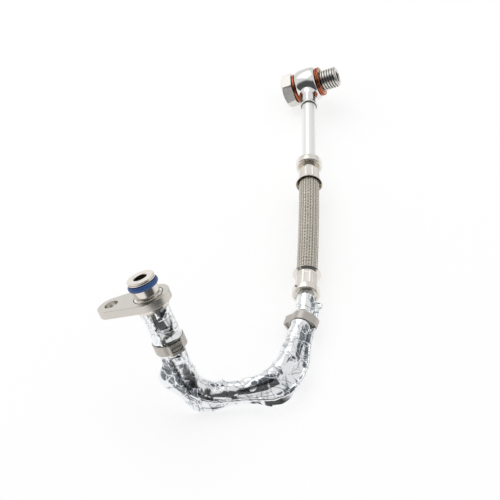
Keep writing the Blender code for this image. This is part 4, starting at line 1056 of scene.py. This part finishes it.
PINCH_HEIGHT = 2.4
PINCH_LENGTH = 3.2
PINCH_AIM = 115.0 * DEG
PINCH_SPREAD = 32.0 * DEG


def loose(distance):
    """0 under a clamp's band, 1 away from it."""
    share = 1.0
    for middle in (upper_clamp, lower_clamp):
        away = abs(distance - middle) - BAND_WIDTH / 2 - GAP
        share = min(share, max(0.0, away / CLAMP_FADE))
    return share * share * (3 - 2 * share)


def folded_radius(radius, height, aim, angle, distance):
    """Radius of the cover with its blunt fold, and with the pinch on its inner side."""
    away = abs((angle - aim + math.pi) % TURN - math.pi)
    tangent = math.acos(radius / (radius + height))
    if away < tangent:
        radius = radius / math.cos(tangent - away)
    beside = max(0.0, 1 - abs(angle - PINCH_AIM) / PINCH_SPREAD)
    return radius + PINCH_HEIGHT * beside * max(0.0, 1 - abs(distance - rise_start) / PINCH_LENGTH)


print("cover from", round(cover_begin, 1), "to", round(cover_end, 1), "mm along the route")

# %% [markdown]
# Crumpled foil is a surface of small, almost flat facets that meet in sharp creases. Here each facet
# belongs to a seed point with its own tilt, and at every place the lowest of the tilted facets wins,
# which leaves a ridge where two facets meet. A second set, turned inside out, adds the valleys.

# %% Crumpled facets
COVER_ROWS = 540
COVER_COLUMNS = 148
girth = TURN * 6.3
cover_length = cover_end - cover_begin


def facets(spacing, tilt, bowl, stretch, seed):
    """Height of crumpled facets on the unrolled cover, as a grid of rows and columns, in millimetres."""
    source = np.random.default_rng(seed)
    count = int(cover_length * girth / spacing ** 2 / stretch)
    middles = np.column_stack([source.uniform(-spacing, cover_length + spacing, count),
                               source.uniform(0, girth, count)])
    tilts = source.normal(0.0, tilt, (count, 2))
    lifts = source.uniform(-0.5, 0.5, count) * tilt * spacing * 0.6
    turns = source.uniform(0, math.pi, count)
    along = np.linspace(0, cover_length, COVER_ROWS + 1)[:, None]
    around = np.linspace(0, girth, COVER_COLUMNS, endpoint=False)[None, :]
    height = np.full((COVER_ROWS + 1, COVER_COLUMNS), 1e9)
    tone = np.zeros_like(height)
    for middle, slope, lift, turn, shade in zip(middles, tilts, lifts, turns, source.uniform(0, 1, count)):
        first = along - middle[0]
        second = (around - middle[1] + girth / 2) % girth - girth / 2
        long = first * math.cos(turn) + second * math.sin(turn)
        short = -first * math.sin(turn) + second * math.cos(turn)
        size = (long / stretch) ** 2 + short ** 2
        plane = lift + slope[0] * short + slope[1] * long / stretch + bowl * size / 2
        tone[plane < height] = shade
        height = np.minimum(height, plane)
    return height - height.mean(), tone


def crumpled(ridges, valleys):
    """Ridges of one set of facets with the valleys of another, and the tone of the first."""
    up, tone = facets(*ridges)
    return up - facets(*valleys)[0], tone


print("facet grid:", COVER_ROWS + 1, "x", COVER_COLUMNS)

# %% [markdown]
# Three sizes of facets are laid over each other: slow folds, creases and fine wrinkles. The numbers are
# spacing, tilt, hollowness, stretch and seed, first for the ridges, then for the valleys.

# %% Folds, creases and wrinkles
folds, fold_tone = crumpled((8.5, 0.26, 0.06, 1.6, 3), (9.5, 0.22, 0.05, 1.8, 5))
creases, crease_tone = crumpled((4.4, 0.22, 0.09, 1.7, 11), (5.0, 0.18, 0.08, 1.9, 13))
wrinkles, wrinkle_tone = crumpled((2.2, 0.17, 0.12, 1.6, 23), (2.6, 0.14, 0.10, 1.8, 29))
print("facet heights:", [round(float(part.std()), 3) for part in (folds, creases, wrinkles)])

# %% [markdown]
# The foil's colour is darker on single facets at random, and carries painted light: painted reflections of the
# dark side of the studio in listed places, painted shade in its valleys, where the sheet bends most, and
# painted highlights on its ridges. Each painted reflection place is its distance along the route, its angle
# round it, and half its length and width, in millimetres and degrees.

# %% Random tone and painted reflections of the foil
# Painted reflections of the dark side of the studio, put into the foil's colour in these places.
PAINTED_REFLECTION_PLACES = [(172, 50, 6, 17), (195, 50, 12, 22), (199, 16, 14, 8), (210, 66, 3.5, 20), (226, 76, 9, 22),
               (237, 58, 5, 18), (263, 27, 7, 28), (270, 0, 6, 32), (273, -28, 5, 22), (282, 56, 5, 22),
               (277, 9, 3, 14), (272, 19, 3, 12), (299, 13, 4.5, 15), (293, 56, 3.5, 18), (302, 67, 3, 14),
               (251, 94, 2.5, 12), (250, 26, 6, 5), (258, -32, 3, 12), (223, 18, 3, 5), (220, 7, 3, 5),
               (213, 13, 3, 6), (276, -45, 10, 26), (261, -40, 5, 14), (276, -60, 9, 18),
               (190, 50, 8, 26), (200, 48, 7, 24)]
PAINTED_REFLECTION_RAGGED = (0.9, 0.7)
VALLEY_SHADE_GAIN = 9
RIDGE_HIGHLIGHT_GAIN = 12
rows_along = np.linspace(cover_begin, cover_end, COVER_ROWS + 1)[:, None]
columns_around = np.linspace(0, 360, COVER_COLUMNS, endpoint=False)[None, :]
painted_reflection = np.full(crease_tone.shape, -9.0)
for middle, aim, half_length, half_width in PAINTED_REFLECTION_PLACES:
    aside = (columns_around - aim + 180) % 360 - 180
    painted_reflection = np.maximum(painted_reflection, 1 - ((rows_along - middle) / half_length) ** 2 - (aside / half_width) ** 2)
painted_reflection += (crease_tone - 0.5) * PAINTED_REFLECTION_RAGGED[0] + (wrinkle_tone - 0.5) * PAINTED_REFLECTION_RAGGED[1]
random_tone_and_painted_light = np.clip((crease_tone - 0.86) * 12, 0, 1) * 0.35
random_tone_and_painted_light = random_tone_and_painted_light + np.clip((wrinkle_tone - 0.88) * 12, 0, 1) * 0.25
random_tone_and_painted_light = np.maximum(random_tone_and_painted_light, np.clip(painted_reflection * 4, 0, 1) * (0.80 + 0.2 * fold_tone))
bent = np.zeros_like(creases)
rumpled = creases + wrinkles
bent[1:-1] = rumpled[2:] + rumpled[:-2] - 2 * rumpled[1:-1]
bent += np.roll(rumpled, 1, axis=1) + np.roll(rumpled, -1, axis=1) - 2 * rumpled
# Painted shade in the valleys of the crumpled foil and painted highlights on its ridges.
painted_valley_shade, painted_ridge_highlight = np.clip(bent * VALLEY_SHADE_GAIN, 0, 0.7), np.clip(-bent * RIDGE_HIGHLIGHT_GAIN, 0, 0.8)
random_tone_and_painted_light = np.clip(random_tone_and_painted_light + painted_valley_shade - painted_ridge_highlight, 0, 1)
print("dark share of the foil:", round(float(random_tone_and_painted_light.mean()), 3))

# %% [markdown]
# The seam stands out as a fin with a rolled hem. The shares say how strongly each set of facets works
# along the cover, and the cut edge at the start is frayed.

# %% Seam, shares and frayed edge
FIN_HALF = 0.85
SLACK = 0.8
SQUEEZE = 0.95
BORE_ROWS = 40
COVER_LOOP = COVER_ROWS + BORE_ROWS + 2
FRAY = 0.55
FRAY_REACH = 4.0
along_route = np.linspace(cover_begin, cover_end, COVER_ROWS + 1)
fold_shares = [(upper_clamp, 0.0), (corner_start - 4, 0.15), (corner_start + 8, 0.30), (rise_start, 0.38)]
crease_shares = [(upper_clamp - 9, 0.0), (upper_clamp - 5, 0.5), (upper_clamp + 6, 0.35), (corner_start, 0.9),
                 (rise_start, 1.0)]
wrinkle_shares = [(cover_begin + 2, 0.35), (upper_clamp - 8, 0.25), (upper_clamp + 10, 0.4),
                  (corner_start, 1.0)]
ragged = np.random.default_rng(31).uniform(-FRAY, FRAY, 37)


def frayed(angle, distance):
    """How far the cut edge of the foil runs past or stops short, fading out inside the cover."""
    place = angle / TURN % 1.0 * (len(ragged) - 1)
    low = int(place)
    edge = ragged[low] + (ragged[(low + 1) % (len(ragged) - 1)] - ragged[low]) * (place - low)
    return edge * max(0.0, 1 - (distance - cover_begin) / FRAY_REACH)


def fin_section(reach, radius):
    """Half of the folded seam: a rolled hem at the tip and a narrow neck; points from root to tip."""
    root = math.sqrt(radius ** 2 - FIN_HALF ** 2)
    height = reach - root
    hem = min(0.75, height * 0.45)
    points = [(root, FIN_HALF), (root + height * 0.15, FIN_HALF * 0.7), (root + height * 0.35, FIN_HALF * 0.45),
              (reach - 2 * hem, FIN_HALF * 0.45), (reach - 1.9 * hem, FIN_HALF * 0.9)]
    points += [(reach - hem + hem * math.sin(angle * DEG), FIN_HALF * 0.95 * math.cos(angle * DEG))
               for angle in (-30, 0, 30, 60, 90)]
    return points


print("the seam stands out by", eased(corner_start, fin_heights), "mm at the corner")

# %% [markdown]
# The outside is the fin, the round part with its fold, and the facets pressed together by a squeeze, so
# that no facet stands out further than the slack. The same grid runs back through the bore.

# %% Cover
def outer_point(column, row, distance):
    """A point of the foil in the route's plane, before the seam is turned to its place."""
    radius = eased(distance, cover_radii)
    height, aim = eased(distance, fold_heights), eased(distance, fold_aims)
    at_fin = folded_radius(radius, height, aim, FIN_ANGLE, distance)
    reach = at_fin + eased(distance, fin_heights)
    half = fin_section(reach, at_fin)
    count = len(half) - 1
    give = loose(distance)
    signed = column if column <= COVER_COLUMNS / 2 else column - COVER_COLUMNS
    if abs(signed) <= count:
        x, y = half[count - abs(signed)]
        y = math.copysign(y, signed) if signed else 0.0
        sway = 0.25 * math.sin((distance - cover_begin) * 0.9) + 0.12 * math.sin(distance * 2.3)
        return x, y + sway * give * (x - at_fin) / max(reach - at_fin, 0.1)
    start = math.asin(FIN_HALF / at_fin)
    share = (column - count) / (COVER_COLUMNS - 2 * count)
    angle = start + (TURN - 2 * start) * share
    rough = folds[row, column] * eased(distance, fold_shares)
    rough += creases[row, column] * eased(distance, crease_shares)
    rough += wrinkles[row, column] * eased(distance, wrinkle_shares)
    share = give * min(1.0, (abs(signed) - count) / 5)
    slack = SLACK * eased(distance, wrinkle_shares)
    size = folded_radius(radius, height, aim, angle + FIN_ANGLE, distance)
    size += (math.tanh(rough / SQUEEZE) - 1) * slack * share
    size = max(size, TUBE_RADIUS + GAP + COVER_WALL)
    return polar(size, angle)


def cover_point(across, along):
    """Rows run along the outside, back through the bore, and end where they began."""
    step = round(along * COVER_LOOP)
    column = round(across * COVER_COLUMNS) % COVER_COLUMNS
    if step <= COVER_ROWS or step == COVER_LOOP:
        row = step % COVER_LOOP
        distance = along_route[row]
        x, y = outer_point(column, row, distance)
    else:
        distance = cover_end - (cover_end - cover_begin) * (step - COVER_ROWS - 1) / BORE_ROWS
        deepest = 1.4 * eased(distance, [(upper_clamp, 0.0), (rise_start, 0.9)])
        radius = max(TUBE_RADIUS + GAP * 0.9, eased(distance, cover_radii) - COVER_WALL - deepest)
        angle = TURN * column / COVER_COLUMNS
        x, y = polar(radius, angle)
    distance += frayed(math.atan2(y, x), distance)
    turned = Vector((x * math.cos(FIN_ANGLE) - y * math.sin(FIN_ANGLE),
                     x * math.sin(FIN_ANGLE) + y * math.cos(FIN_ANGLE), 0))
    return route.frame(distance) @ turned


def crease_at(across, along):
    """How dark the foil's colour is: random facet tone, painted reflections, painted valley shade and painted
    ridge highlights.
    """
    step = round(along * COVER_LOOP)
    if step > COVER_ROWS:
        return 0.0
    distance = along_route[step]
    column = round(across * COVER_COLUMNS) % COVER_COLUMNS
    return float(random_tone_and_painted_light[step, column]) * loose(distance)


cover = shape_grid("heat_cover_fine", COVER_COLUMNS, COVER_LOOP, cover_point, crease=crease_at)
dress(seat(cover, Matrix.Identity(4)), FOIL, "foil_sleeve", angle=16)

# %% [markdown]
# ## Lower tube
# Only a short stretch of it shows, between the collar and the cover.

# %% Lower tube
lower_begin = LOWER_COLLAR_END - TUBE_SEAT + GAP
lower_end = route.length + shoulder_bottom - GAP


def tube_point(across, along):
    distance = lower_begin + (lower_end - lower_begin) * along
    angle = TURN * across
    return route.frame(distance) @ Vector((*polar(TUBE_RADIUS, angle), 0))


lower_tube = shape_grid("lower_tube_fine", 32, 90, tube_point)
apply_modifier(lower_tube, "SOLIDIFY", thickness=1.0 * MM, offset=-1.0)
dress(seat(lower_tube, Matrix.Identity(4)), DRAWN, "lower_tube")

# %% [markdown]
# ## Ear clamps
# A band is bent round the cover and pinched shut at its ear, a raised loop with a long dimple pressed
# into it. The band's edge line is drawn as one closed outline, pushed out to the band's width, and
# its edges are rounded.

# %% Ear clamps
BAND_THICKNESS = 0.4
BAND_SEAT = 0.1
EAR_LENGTH = 9.4
EAR_CREST = 7.4
EAR_HEIGHT = 2.8
DIMPLE = (5.8, 2.4, 0.65)
DIMPLE_EDGE = 0.5
CREST_WALL = 0.9
CREST_ROUND = 0.9
EAR_SOFT = 0.10


def band_outline(radius, lobe, offset, sides=144):
    """Circle with a lobe over the seam, angles counted from the seam."""
    size, tip = radius + offset, radius + lobe + offset
    slope = math.acos((size - FIN_HALF - offset) / tip)
    points = []
    for index in range(sides):
        angle = TURN * index / sides - math.pi
        reach = tip - (tip - size) * (abs(angle) / slope) ** 0.8 if abs(angle) < slope else size
        points.append(polar(reach, angle + FIN_ANGLE))
    return points


def ear_outline(radius, inner):
    """Outline of the ear, or of the window under it, at +X."""
    wall = BAND_THICKNESS if inner else 0.0
    foot = radius + BAND_THICKNESS * (1.0 if inner else 0.5)
    half = EAR_LENGTH / 2 - wall
    crest = EAR_CREST / 2 - wall
    top = radius + BAND_THICKNESS + EAR_HEIGHT - (CREST_WALL if inner else 0.0)
    soft = CREST_ROUND - wall * 0.5
    points = arc((top - soft, -crest + soft), soft, -75, 0, 5)
    points += arc((top - soft, crest - soft), soft, 0, 75, 5)
    spread = math.asin(half / foot) / DEG
    points += arc((0, 0), foot, spread, -spread, 14)
    return points


print("upper band radius:", round(eased(upper_clamp, cover_radii) + BAND_SEAT, 2), "mm")

# %% [markdown]
# The ear is joined to the band, the inside and the window under the ear are cut out, and a groove is
# pressed round the dimple, whose floor stays standing.

# %% Clamps
def ear_clamp(name, station, lobe, ear_angle, node):
    radius = eased(station, cover_radii) + BAND_SEAT
    band = extruded(name, band_outline(radius, lobe, BAND_THICKNESS), BAND_WIDTH)
    turn = Matrix.Rotation(ear_angle, 4, "Z")
    ear = extruded("ear", ear_outline(radius, False), BAND_WIDTH)
    ear.data.transform(turn)
    carve(band, ear, "UNION")
    carve(band, extruded("inside", band_outline(radius, lobe, 0.0), BAND_WIDTH * 2))
    window = extruded("window", ear_outline(radius, True), BAND_WIDTH * 2)
    window.data.transform(turn)
    carve(band, window)
    length, width, depth = DIMPLE
    straight = (length - width) / 2

    def racetrack(half):
        return arc((0, straight), half, 0, 180, 12) + arc((0, -straight), half, 180, 360, 12)

    dimple = extruded("dimple", racetrack(width / 2), depth * 2)
    carve(dimple, extruded("dimple_floor", racetrack(width / 2 - DIMPLE_EDGE), depth * 4))
    crest = Matrix.Translation(((radius + BAND_THICKNESS + EAR_HEIGHT) * MM, 0, 0))
    dimple.data.transform(turn @ crest @ Matrix.Rotation(math.pi / 2, 4, "Y"))
    carve(band, dimple)
    soften(band, EAR_SOFT, 2, 40)
    dress(seat(band, route.frame(station)), ROLLED, node, angle=40, flats=True)


ear_clamp("upper_clamp_fine", upper_clamp, 2.3, 212.0 * DEG, "upper_ear_clamp")
ear_clamp("lower_clamp_fine", lower_clamp, 1.0, 43.0 * DEG, "lower_ear_clamp")

# %% [markdown]
# ## Liner, floor and lamp
# The liner keeps its solid and gets its rubber. The floor glows a little and takes a soft shadow. One wide
# lamp, high behind the line, adds to the tent's light.

# %% Liner and floor
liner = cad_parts["hose_liner"]
liner.data.materials.clear()
liner.data.materials.append(RUBBER.material)

FLOOR_SIZE = 6.0
FLOOR_GLOW = 0.62
FLOOR_WHITE = 0.55
floor = added("floor", bpy.ops.mesh.primitive_plane_add, size=FLOOR_SIZE, location=(0, 0, 0))
paper = bpy.data.materials.new("floor_paper")
paper.use_nodes = True
paper_inputs = {"Base Color": (FLOOR_WHITE, FLOOR_WHITE, FLOOR_WHITE, 1.0), "Roughness": 1.0,
                "Specular IOR Level": 0.0, "Emission Color": (1.0, 1.0, 1.0, 1.0),
                "Emission Strength": FLOOR_GLOW}
for label, value in paper_inputs.items():
    paper.node_tree.nodes["Principled BSDF"].inputs[label].default_value = value
floor.data.materials.append(paper)

# %% Soft lamp
LAMP_PLACE = (-0.5, 0.7, 1.2)
lamp_data = bpy.data.lights.new("soft_lamp", "AREA")
lamp_data.energy = 3.0
lamp_data.size = 1.2
lamp = bpy.data.objects.new("soft_lamp", lamp_data)
bpy.context.scene.collection.objects.link(lamp)
lamp.location = LAMP_PLACE
lamp.rotation_euler = (-lamp.location).to_track_quat("-Z", "Y").to_euler()
print("lamp:", lamp_data.energy, "W")

# %% [markdown]
# ## End
# The view layer is brought up to date.

# %% End
bpy.context.view_layer.update()
